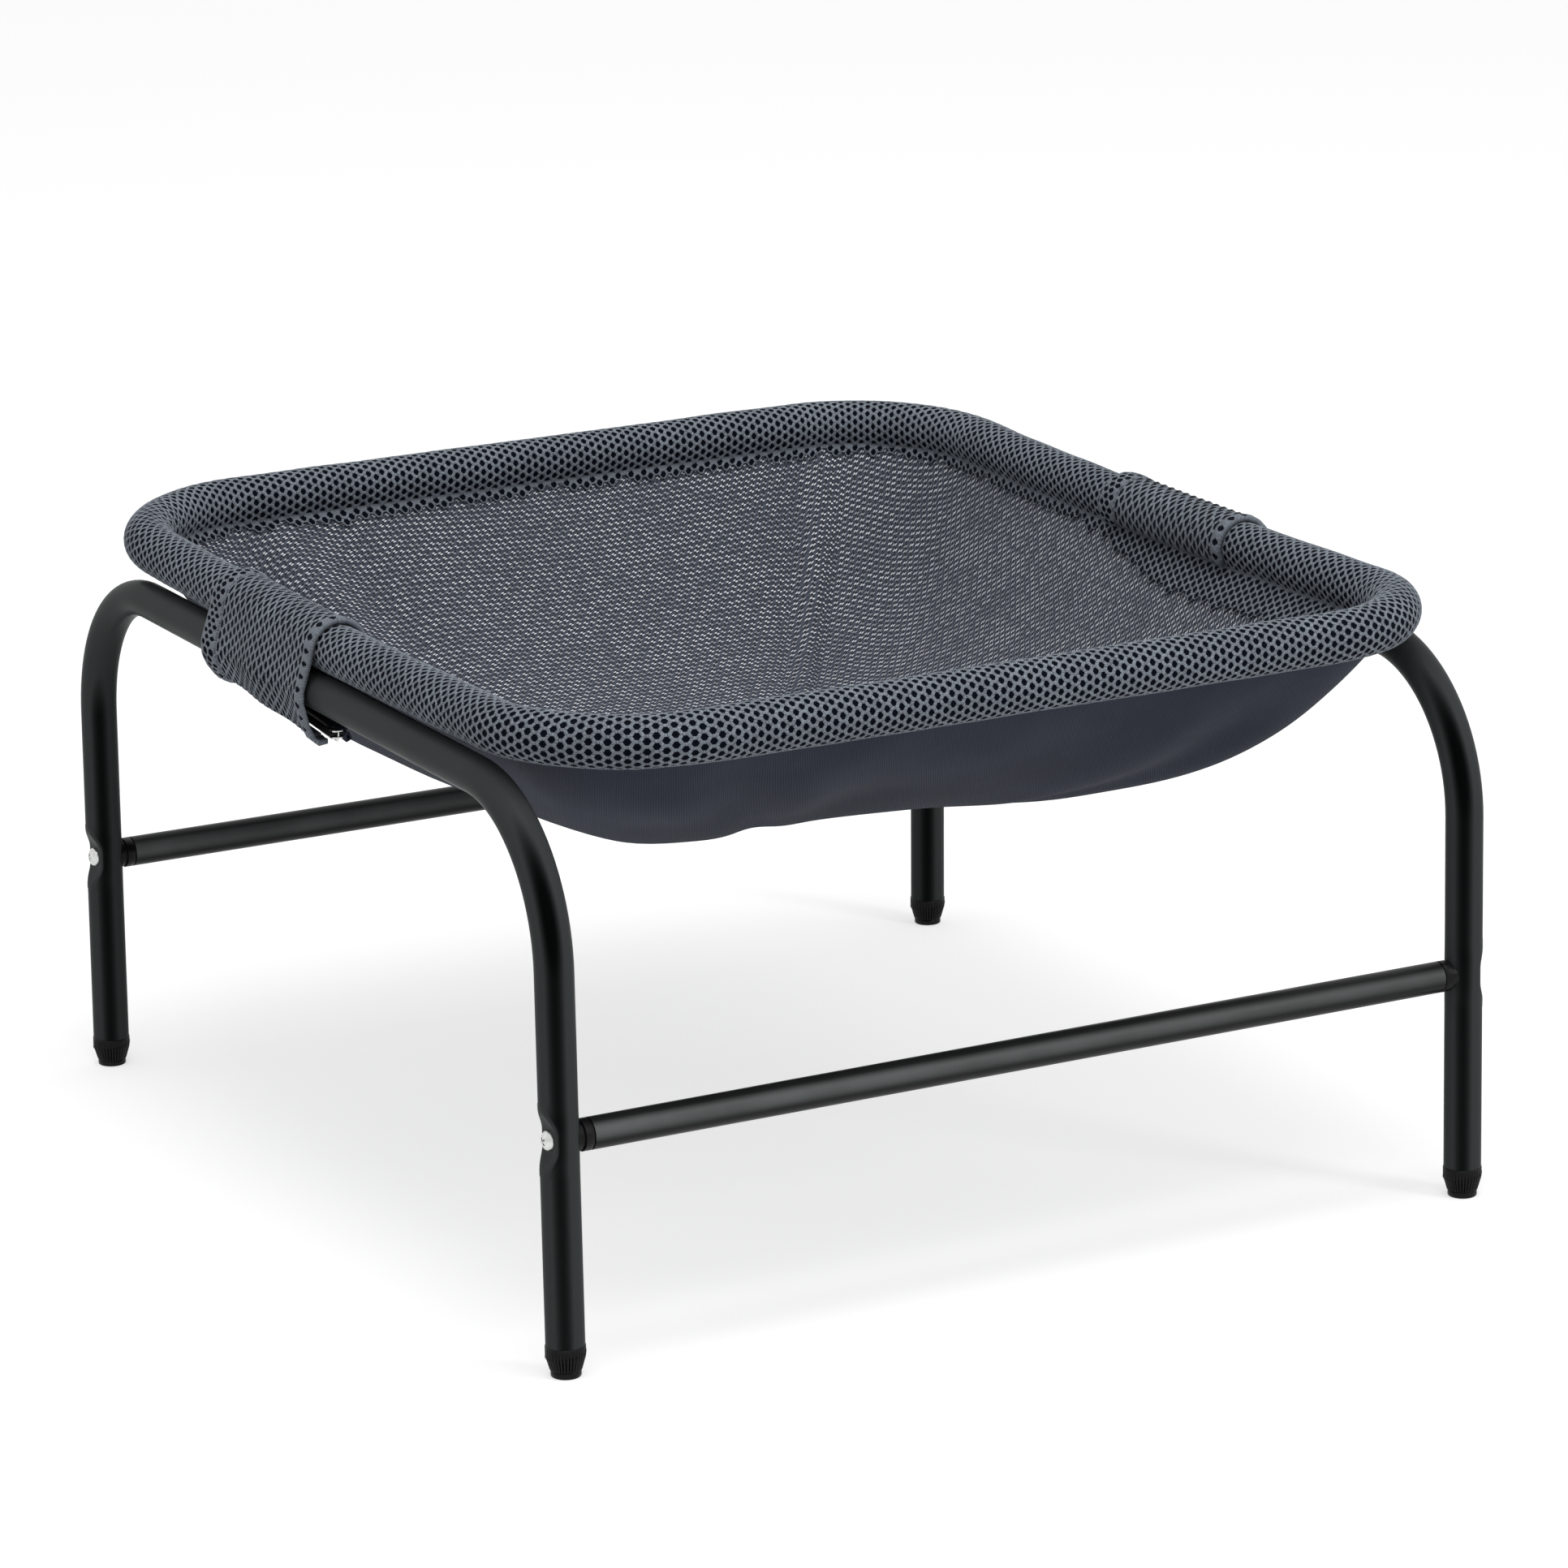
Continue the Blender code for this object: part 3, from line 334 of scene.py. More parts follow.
def slanted_stroke(sheet: NodeSheet, spot: Sequence[Socket], middle: tuple[float, float],
                   half: tuple[float, float]) -> Socket:
    """Return a short slanted stroke inside a cell.

    Args:
        sheet: The group's sheet.
        spot: The place across and up the cell, each from -0.5 to 0.5.
        middle: The stroke's middle.
        half: Half its length and half its width.

    Returns:
        1 on the stroke and 0 away from it.
    """
    flat, steep = 0.85, 0.53
    edge_span = (0.6, 1.3, 1.0, 0.0)
    right, upward = (sheet.math("SUBTRACT", place, start) for place, start in zip(spot, middle))
    length = sheet.math("ADD", sheet.math("MULTIPLY", right, flat), sheet.math("MULTIPLY", upward, steep))
    width = sheet.math("SUBTRACT", sheet.math("MULTIPLY", upward, flat), sheet.math("MULTIPLY", right, steep))
    squares = [sheet.math("POWER", sheet.math("DIVIDE", way, limit), 2.0)
               for way, limit in zip((length, width), half)]
    return sheet.span(sheet.math("ADD", *squares), *edge_span)


@dataclass(frozen=True)
class Finish:
    """A finish of the bed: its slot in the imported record, its colour and how it shines."""

    slot: str
    colour: tuple[float, float, float]
    roughness: float
    metallic: float = 0.0
    specular: float = 0.5
    sheen: float = 0.0
    variant: str = ""

    def rgba(self, share: float = 1.0) -> tuple[float, float, float, float]:
        """Return the finish's colour, lightened or darkened by a share."""
        return (*(level * share for level in self.colour), 1.0)

    def material(self) -> bpy.types.Material:
        """Return the finish's material, built the first time it is asked for.

        Returns:
            The material.
        """
        label = "finish_" + self.slot + self.variant
        found = bpy.data.materials.get(label)
        if found:
            return found
        made = bpy.data.materials.new(label)
        made.use_nodes = True
        sheet = NodeSheet(made.node_tree)
        values = {"Roughness": self.roughness, "Metallic": self.metallic, "Specular IOR Level": self.specular,
                  "Sheen Weight": self.sheen}
        shader = sheet.add("BsdfPrincipled", values)
        sheet.show("OutputMaterial", shader)
        colour, relief, depth = self.dress(sheet, shader)
        sheet.feed(shader.inputs["Base Color"], colour)
        bump = sheet.add("Bump", {"Height": relief, "Distance": depth, "Strength": 1.0})
        sheet.feed(shader.inputs["Normal"], bump.outputs["Normal"])
        return made

    def marked(self, sheet: NodeSheet, colour: Socket, where: Socket, mark: tuple[float, float]) -> Socket:
        """Return a colour that takes another shade of the finish in some places.

        Args:
            sheet: The material's sheet.
            colour: The colour elsewhere.
            where: 1 in those places and 0 elsewhere.
            mark: The share in which they take the shade, and the shade.

        Returns:
            The colour.
        """
        share, shade = mark
        return sheet.mix(sheet.math("MULTIPLY", where, share), colour, self.rgba(shade))

    def dress(self, sheet: NodeSheet, shader: bpy.types.Node) -> tuple[Socket, Socket, float]:
        """Return the finish's colour, its relief and the relief's depth; each kind of finish has its own."""
        raise NotImplementedError(self.slot)


@dataclass(frozen=True)
class HardSkin(Finish):
    """A hard skin with uneven gloss and shade over a fine relief; paint can take painted light that changes
    with how aslant it is seen.
    """

    patch_size: float = 0.003
    grain_size: float = 0.0004
    depth: float = 0.00001
    gloss: tuple[float, float] = (-0.07, 0.09)
    shades: tuple[float, float] = (0.86, 1.05)
    shaded_by_grain: bool = False
    bloom: tuple[float, float, float] | None = None
    bloom_span: tuple[float, float] = (0.0, 1.0)

    def dress(self, sheet: NodeSheet, shader: bpy.types.Node) -> tuple[Socket, Socket, float]:
        """Return the skin's shade and relief, and feed the shader with uneven gloss.

        Args:
            sheet: The material's sheet.
            shader: Its shader, whose roughness may be fed.

        Returns:
            The colour, the relief and the relief's depth.
        """
        place = sheet.add("TexCoord").outputs["Object"]
        patches, grain = sheet.clouds(place, self.patch_size, self.grain_size)
        gloss = sheet.span(patches, 0.0, 1.0, *(self.roughness + step for step in self.gloss))
        sheet.feed(shader.inputs["Roughness"], gloss)
        tint = sheet.mix(grain if self.shaded_by_grain else patches, *map(self.rgba, self.shades))
        # Painted light: the colour moves towards another as the surface turns aslant. On the black paint this
        # is a painted reflection at the edges; on the rails the face-on colour is a painted highlight and the
        # edges go dark.
        if self.bloom:
            aslant = sheet.add("LayerWeight", {"Blend": 0.5}).outputs["Facing"]
            tint = sheet.mix(sheet.span(aslant, *self.bloom_span), tint, (*self.bloom, 1.0))
        return tint, grain, self.depth


@dataclass(frozen=True)
class OpenFoam(Finish):
    """Open-cell foam: dark with a pitted surface, darker still in its pits as painted shade."""

    cell_size: float = 0.0009
    cell_span: tuple[float, float] = (0.1, 0.6)
    shades: tuple[float, float] = (0.4, 1.2)

    def dress(self, sheet: NodeSheet, shader: bpy.types.Node) -> tuple[Socket, Socket, float]:
        """Return the foam's cells.

        Args:
            sheet: The material's sheet.
            shader: Its shader; not used.

        Returns:
            The colour, the relief and the relief's depth.
        """
        place = sheet.add("TexCoord").outputs["Object"]
        cells = sheet.add("TexVoronoi", {"Vector": place, "Scale": 1 / self.cell_size})
        walls = sheet.span(cells.outputs["Distance"], *self.cell_span)
        # Painted shade: the cells' hollows take the darker shade and their walls the lighter.
        return sheet.mix(walls, *map(self.rgba, self.shades)), walls, self.cell_size / 3


@dataclass(frozen=True)
class SpacerMesh(Finish):
    """Knitted spacer mesh: grey strands round holes that are painted dark as shade, with fine yarn along the
    strands.
    """

    hole_colour: tuple[float, float, float] = (0.0020, 0.0038, 0.0080)
    dark_shades: tuple[float, float] = (0.42, 1.7)
    light_shades: tuple[float, float] = (0.55, 1.95)
    fibre_span: tuple[float, float] = (0.32, 0.7)
    hole_span: tuple[float, float] = (0.02, 0.45)
    yarn_size: float = 0.00042
    yarn_depth: float = 0.00012
    patch_size: float = 0.05

    def dress(self, sheet: NodeSheet, shader: bpy.types.Node) -> tuple[Socket, Socket, float]:
        """Return the strands' colour, with painted shade in the holes, and their yarn.

        Args:
            sheet: The material's sheet.
            shader: Its shader; not used.

        Returns:
            The colour, the relief and the relief's depth.
        """
        cloth = sheet.add("UVMap", uv_map="cloth").outputs[0]
        hole = sheet.add("Attribute", attribute_name="hole").outputs["Fac"]
        patches, grain = sheet.clouds(cloth, self.patch_size, self.yarn_size)
        fibre = sheet.span(grain, *self.fibre_span)
        both_shades = self.dark_shades, self.light_shades
        dark, light = (sheet.mix(fibre, *map(self.rgba, shades)) for shades in both_shades)
        strand = sheet.mix(patches, dark, light)
        # Painted shade: the holes' pits go to a near-black blue.
        colour = sheet.mix(sheet.span(hole, *self.hole_span), strand, (*self.hole_colour, 1.0))
        return colour, grain, self.yarn_depth


@dataclass(frozen=True)
class FleckMesh(Finish):
    """Blue-grey mesh cloth with staggered pairs of silver flecks and small pits between them, darkened with
    painted shade.
    """

    fleck_colour: tuple[float, float, float] = (0.93, 0.95, 0.99)
    fleck_roughness: float = 0.45
    grain_share: float = 0.5
    pitch: float = 0.0045
    row: float = 0.0029
    knit_pitch: float = 0.0011
    knit_cross_pitch: float = 0.00176
    knit_turn: float = math.radians(62.0)
    knit_depth: float = 0.00022
    ground_shades: tuple[float, float] = (0.5, 1.6)
    valley_mark: tuple[float, float] = (0.6, 0.35)
    pit_mark: tuple[float, float] = (0.9, 0.1)
    shine_span: tuple[float, float, float, float] = (0.0, 1.3, 0.4, 1.0)
    patch_size: float = 0.05
    yarn_size: float = 0.0006

    def dress(self, sheet: NodeSheet, shader: bpy.types.Node) -> tuple[Socket, Socket, float]:
        """Return the knit's colour and relief, and feed the shader with the flecks' gloss.

        Args:
            sheet: The material's sheet.
            shader: Its shader, whose roughness may be fed.

        Returns:
            The colour, the relief and the relief's depth.
        """
        cloth = sheet.add("UVMap", uv_map="cloth").outputs[0]
        patches, grain = sheet.clouds(cloth, self.patch_size, self.yarn_size)
        lattice = sheet.group(dash_pairs(), {"Vector": cloth, "Pitch": self.pitch, "Row": self.row})
        knit = sheet.group(woven_ribs(), {"Vector": cloth, "Pitch": self.knit_pitch,
                                          "Cross Pitch": self.knit_cross_pitch, "Turn": self.knit_turn})
        ground = sheet.mix(grain, *map(self.rgba, self.ground_shades))
        # Painted shade in the knit's valleys.
        ground = self.marked(sheet, ground, knit["Valley"], self.valley_mark)
        # Painted shade in the pits and the line beside them.
        pitted = self.marked(sheet, ground, lattice["Pit"], self.pit_mark)
        chance = sheet.math("MULTIPLY", lattice["Strength"], patches)
        shine = sheet.span(sheet.math("ADD", lattice["Strength"], chance), *self.shine_span)
        fleck = sheet.math("MULTIPLY", lattice["Dash"], shine)
        gloss = sheet.span(fleck, 0.0, 1.0, self.roughness, self.fleck_roughness)
        sheet.feed(shader.inputs["Roughness"], gloss)
        relief = sheet.math("SUBTRACT", lattice["Dash"], lattice["Pit"])
        relief = sheet.math("MULTIPLY_ADD", grain, self.grain_share, relief)
        return sheet.mix(fleck, pitted, (*self.fleck_colour, 1.0)), relief, self.knit_depth


@dataclass(frozen=True)
class RibbedCloth(Finish):
    """Dark woven cloth with fine ribs, painted shade in their valleys and soft patches of painted highlight.
    """

    pitch: float = 0.0012
    cross_pitch: float = 0.0016
    turn: float = math.radians(28.0)
    relief: float = 0.00012
    ground_shades: tuple[float, float] = (0.7, 1.5)
    patch_mark: tuple[float, float] = (0.6, 1.7)
    valley_mark: tuple[float, float] = (0.65, 0.25)
    patch_size: float = 0.07
    yarn_size: float = 0.0006

    def dress(self, sheet: NodeSheet, shader: bpy.types.Node) -> tuple[Socket, Socket, float]:
        """Return the ribs' colour and height.

        Args:
            sheet: The material's sheet.
            shader: Its shader; not used.

        Returns:
            The colour, the relief and the relief's depth.
        """
        cloth = sheet.add("UVMap", uv_map="cloth").outputs[0]
        patches, grain = sheet.clouds(cloth, self.patch_size, self.yarn_size)
        ribs = sheet.group(woven_ribs(), {"Vector": cloth, "Pitch": self.pitch,
                                          "Cross Pitch": self.cross_pitch, "Turn": self.turn})
        ground = sheet.mix(grain, *map(self.rgba, self.ground_shades))
        # Painted highlight: soft patches lighten the cloth.
        ground = self.marked(sheet, ground, patches, self.patch_mark)
        # Painted shade in the ribs' valleys.
        return self.marked(sheet, ground, ribs["Valley"], self.valley_mark), ribs["Height"], self.relief


class Finishes:
    """Every finish of the bed."""

    # The black paint's lighter colour seen aslant is a painted reflection.
    PAINT = HardSkin("black_paint", (0.0012, 0.0015, 0.0016), 0.34, specular=0.015, patch_size=0.06,
                     grain_size=0.0016, depth=0.000012, gloss=(-0.05, 0.06), shades=(0.85, 1.2),
                     bloom=(0.047, 0.051, 0.052), bloom_span=(0.012, 0.20))
    # The rails' bright colour is a painted highlight where they face the eye; seen aslant they go to a dark
    # colour close to the paint's own.
    RAIL_PAINT = replace(PAINT, colour=(0.128, 0.137, 0.137), specular=0.12, variant="_rail",
                         bloom=(0.012, 0.0125, 0.0125), bloom_span=(0.0, 0.32))
    PLASTIC = HardSkin("black_plastic", (0.0045, 0.0045, 0.0048), 0.36, specular=0.14, patch_size=0.006,
                       grain_size=0.0005, depth=0.00002, gloss=(-0.06, 0.10), shades=(0.8, 1.35),
                       shaded_by_grain=True)
    ZINC = HardSkin("zinc", (0.66, 0.67, 0.66), 0.27, metallic=1.0)
    STEEL = HardSkin("bare_steel", (0.45, 0.45, 0.46), 0.36, metallic=1.0)
    NICKEL = HardSkin("zip_metal", (0.70, 0.70, 0.69), 0.22, metallic=1.0)
    FOAM = OpenFoam("foam", (0.05, 0.05, 0.055), 0.95)
    AIR_MESH = SpacerMesh("air_mesh", (0.176, 0.196, 0.224), 0.88, specular=0.05, sheen=0.04)
    FLECK = FleckMesh("fleck_mesh", (0.096, 0.109, 0.140), 0.82, specular=0.12)
    WOVEN = RibbedCloth("woven_cloth", (0.029, 0.0345, 0.051), 0.85, specular=0.1, sheen=0.04)
    TAPE = RibbedCloth("zip_tape", (0.010, 0.010, 0.012), 0.8, specular=0.3, sheen=0.1, pitch=0.0008,
                       cross_pitch=0.0005, turn=0.0, relief=0.00008)


def clamp(value: float) -> float:
    """Return a value kept between 0 and 1."""
    return min(max(value, 0.0), 1.0)


def linked(label: str, data: bpy.types.ID) -> bpy.types.Object:
    """Return a new object that is in the scene.

    Args:
        label: The object's name.
        data: Its mesh, lamp or camera.

    Returns:
        The object.
    """
    item = bpy.data.objects.new(label, data)
    bpy.context.scene.collection.objects.link(item)
    return item


def as_mesh(shape: bmesh.types.BMesh, label: str) -> bpy.types.Mesh:
    """Return a shape as a mesh; the shape is freed.

    Args:
        shape: The shape.
        label: The mesh's name.

    Returns:
        The mesh.
    """
    mesh = bpy.data.meshes.new(label)
    shape.to_mesh(mesh)
    shape.free()
    return mesh


def joint_named(name: str) -> dict:
    """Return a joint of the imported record."""
    return next(item for item in frame["record"]["behaviour"]["joints"] if item["name"] == name)


def make_piece(shape: bmesh.types.BMesh, label: str, finish: Finish, body: str = "bed",
               stands_for: Sequence[str] = (), crease: float = math.radians(40.0)) -> bpy.types.Object:
    """Turn a finished bmesh into a named piece that rides on a body.

    Args:
        shape: The piece's shape, in place; it is freed.
        label: The piece's name.
        finish: The finish that it takes.
        body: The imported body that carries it.
        stands_for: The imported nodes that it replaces.
        crease: The angle past which an edge is shaded sharp.

    Returns:
        The new object.
    """
    mesh = as_mesh(shape, label)
    mesh.shade_smooth()
    mesh.set_sharp_from_angle(angle=crease)
    item = linked(label, mesh)
    mesh.materials.append(finish.material())
    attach(item, body)
    if stands_for:
        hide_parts(*stands_for)
    LOG.info("%s: %d faces, %s", label, len(mesh.polygons), finish.slot)
    return item


def redress(node: str, finish: Finish) -> None:
    """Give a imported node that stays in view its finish.

    Args:
        node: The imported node's name.
        finish: Its finish.
    """
    mesh = frame["nodes"][node].data
    mesh.materials.clear()
    mesh.materials.append(finish.material())
    LOG.info("%s: packed node, %s", node, finish.slot)


def faced_out(shape: bmesh.types.BMesh) -> bmesh.types.BMesh:
    """Point a shape's faces outwards."""
    bmesh.ops.recalc_face_normals(shape, faces=shape.faces[:])
    return shape


def closed_up(shape: bmesh.types.BMesh) -> bmesh.types.BMesh:
    """Close a shape's open ends and point its faces outwards.

    Args:
        shape: The shape to change.

    Returns:
        The same shape.
    """
    rims = [edge for edge in shape.edges if edge.is_boundary]
    if rims:
        bmesh.ops.holes_fill(shape, edges=rims, sides=0)
    return faced_out(shape)


def thicken(shape: bmesh.types.BMesh, faces: list[bmesh.types.BMFace]) -> list[bmesh.types.BMVert]:
    """Extrude some faces and return their new vertices, still in place."""
    grown = bmesh.ops.extrude_face_region(shape, geom=faces)["geom"]
    return [part for part in grown if isinstance(part, bmesh.types.BMVert)]


def soften(shape: bmesh.types.BMesh, edges: list[bmesh.types.BMEdge], offset: float, segments: int) -> None:
    """Round some edges of a shape by a small bevel."""
    bmesh.ops.bevel(shape, geom=edges, offset=offset, offset_type="OFFSET", segments=segments, profile=0.5,
                    affect="EDGES", material=-1)


def sharp_edges(shape: bmesh.types.BMesh) -> list[bmesh.types.BMEdge]:
    """Return the edges where a shape turns sharply."""
    return [edge for edge in shape.edges if edge.calc_face_angle(0.0) > SHARP_TURN]


def add_block(shape: bmesh.types.BMesh, size: Sequence[float]) -> list[bmesh.types.BMVert]:
    """Add a block of a size round the middle and return its vertices.

    Args:
        shape: The shape to change.
        size: The block's size along X, Y and Z.

    Returns:
        The block's vertices.
    """
    verts = bmesh.ops.create_cube(shape, size=1.0)["verts"]
    bmesh.ops.scale(shape, verts=verts, vec=size)
    return verts


def lay_out(shape: bmesh.types.BMesh, flat: Callable[[bmesh.types.BMVert], tuple[float, float]]) -> None:
    """Fill a shape's cloth map, from where each vertex lies on the flat cloth.

    Args:
        shape: The sheet's shape.
        flat: Gives a vertex's place on the flat cloth.
    """
    cloth = shape.loops.layers.uv["cloth"]
    for face in shape.faces:
        for loop in face.loops:
            loop[cloth].uv = flat(loop.vert)


def cloth_grid(columns: int, rows: int, holed: bool = False) -> tuple[bmesh.types.BMesh, dict]:
    """Start a sheet of cloth as a grid with a cloth map.

    Args:
        columns: Faces along the grid.
        rows: Faces across it.
        holed: Whether it also keeps each vertex's place along and across, and the holes' depth, which marks
            where shade is painted.

    Returns:
        The grid, and each vertex's column and row.
    """
    shape = bmesh.new()
    bmesh.ops.create_grid(shape, x_segments=columns, y_segments=rows, size=1.0)
    if holed:
        shape.verts.layers.float.new("along")
        shape.verts.layers.float.new("across")
    shape.loops.layers.uv.new("cloth")
    if holed:
        shape.loops.layers.float_color.new("hole")
    marks = {vert: (round((vert.co.x + 1) / 2 * columns), round((vert.co.y + 1) / 2 * rows))
             for vert in shape.verts}
    return shape, marks


def give_wall(item: bpy.types.Object, thickness: float, offset: float) -> None:
    """Give a sheet its thickness.

    Args:
        item: The sheet.
        thickness: Its thickness.
        offset: 1 to grow it outwards, -1 inwards and 0 both ways.
    """
    wall = item.modifiers.new("wall", "SOLIDIFY")
    wall.thickness = thickness
    wall.offset = offset


def cut_away(shape: bmesh.types.BMesh, tool: bmesh.types.BMesh) -> bmesh.types.BMesh:
    """Cut one closed shape out of another.

    Args:
        shape: The shape to cut; it is freed.
        tool: The cutting shape; it is freed.

    Returns:
        The cut shape.
    """
    holders = [linked("cut", as_mesh(source, "cut")) for source in (shape, tool)]
    change = holders[0].modifiers.new("cut", "BOOLEAN")
    change.operation = "DIFFERENCE"
    change.solver = "EXACT"
    change.object = holders[1]
    result = bmesh.new()
    result.from_object(holders[0], bpy.context.evaluated_depsgraph_get())
    for holder in holders:
        mesh = holder.data
        bpy.data.objects.remove(holder, do_unlink=True)
        bpy.data.meshes.remove(mesh)
    return result


def with_way(points: Sequence[Sequence[float]]) -> list[tuple[Sequence[float], float]]:
    """Return points, each with the way gone to it from the first.

    Args:
        points: Points in order.

    Returns:
        Each point with the way gone.
    """
    gone = 0.0
    walked = [(points[0], gone)]
    for before, after in zip(points, points[1:]):
        gone += math.dist(before, after)
        walked.append((after, gone))
    return walked


def squared(value: float, power: float) -> float:
    """Return a share from -1 to 1 raised to a power with its sign kept, which squares a circle off."""
    return math.copysign(abs(value) ** power, value)


class Sweep:
    """A ring of edges that grows a tube as it is extruded straight on or spun round a bend."""

    def __init__(self, radius: float, segments: int, place: Matrix) -> None:
        """Start the tube with one open ring.

        Args:
            radius: The tube's radius.
            segments: Edges round the ring.
            place: The ring's place; its own Z is the tube's direction.
        """
        self.shape = bmesh.new()
        bmesh.ops.create_circle(self.shape, cap_ends=False, radius=radius, segments=segments, matrix=place)
        self.ring = self.shape.edges[:]

    def ring_verts(self) -> list[bmesh.types.BMVert]:
        """Return the leading ring's vertices."""
        return list({vert for edge in self.ring for vert in edge.verts})

    def run(self, travel: Vector, steps: int = 1, widen: float = 1.0) -> None:
        """Extrude the leading ring straight on.

        Args:
            travel: The whole way to go.
            steps: Rings along the way.
            widen: How much wider the ring is at the end of each step.
        """
        for _ in range(steps):
            grown = bmesh.ops.extrude_edge_only(self.shape, edges=self.ring)["geom"]
            self.ring = [part for part in grown if isinstance(part, bmesh.types.BMEdge)
                         and not self.is_side(part, grown)]
            verts = self.ring_verts()
            bmesh.ops.translate(self.shape, verts=verts, vec=travel / steps)
            if widen != 1.0:
                middle = sum((vert.co for vert in verts), Vector()) / len(verts)
                bmesh.ops.scale(self.shape, verts=verts, vec=(widen, widen, widen),
                                space=Matrix.Translation(-middle))

    def follow(self, direction: Vector, radius: float, profile: Sequence[tuple[float, float]]) -> None:
        """Extrude the leading ring along a profile.

        Args:
            direction: The way to go, of length 1.
            radius: The ring's radius at the start.
            profile: Each step's length and the radius at its end.
        """
        for length, wider in profile:
            self.run(direction * length, 1, wider / radius)
            radius = wider

    @staticmethod
    def is_side(edge: bmesh.types.BMEdge, grown: list) -> bool:
        """Tell whether an extruded edge joins the old ring to the new one."""
        return any(vert not in grown for vert in edge.verts)

    def turn(self, centre: Vector, axis: Vector, angle: float, steps: int) -> None:
        """Spin the leading ring round a bend.

        Args:
            centre: The bend's centre.
            axis: The axis it turns about.
            angle: How far it turns.
            steps: Rings along the bend.
        """
        geometry = self.ring + self.ring_verts()
        turned = bmesh.ops.spin(self.shape, geom=geometry, cent=centre, axis=axis, angle=angle, steps=steps)
        self.ring = [part for part in turned["geom_last"] if isinstance(part, bmesh.types.BMEdge)]

    def close(self) -> bmesh.types.BMesh:
        """Return the tube with its ends closed."""
        return closed_up(self.shape)


def ring_place(centre: Vector, direction: Vector) -> Matrix:
    """Return the place of a ring whose own Z points along a direction."""
    return Matrix.Translation(centre) @ direction.to_track_quat("Z", "Y").to_matrix().to_4x4()


def spun_profile(profile: Sequence[tuple[float, float]], steps: int) -> bmesh.types.BMesh:
    """Turn a profile of radius and height values about Z.

    Args:
        profile: Points of the outline, from the top of the axis to its foot.
        steps: Facets round the axis.

    Returns:
        The closed round shape.
    """
    shape = bmesh.new()
    verts = [shape.verts.new((radius, 0, height)) for radius, height in profile]
    edges = [shape.edges.new(pair) for pair in zip(verts, verts[1:])]
    bmesh.ops.spin(shape, geom=verts + edges, cent=(0, 0, 0), axis=UP, angle=2 * math.pi, steps=steps,
                   use_merge=True)
    bmesh.ops.remove_doubles(shape, verts=shape.verts, dist=WELD)
    return closed_up(shape)


def side_facing(side: Side, place: Vector) -> Matrix:
    """Return the place of a shape whose own Z faces out to the bed's side."""
    return Matrix.Translation(place) @ Matrix.Rotation(side.value * math.pi / 2, 4, "Y")


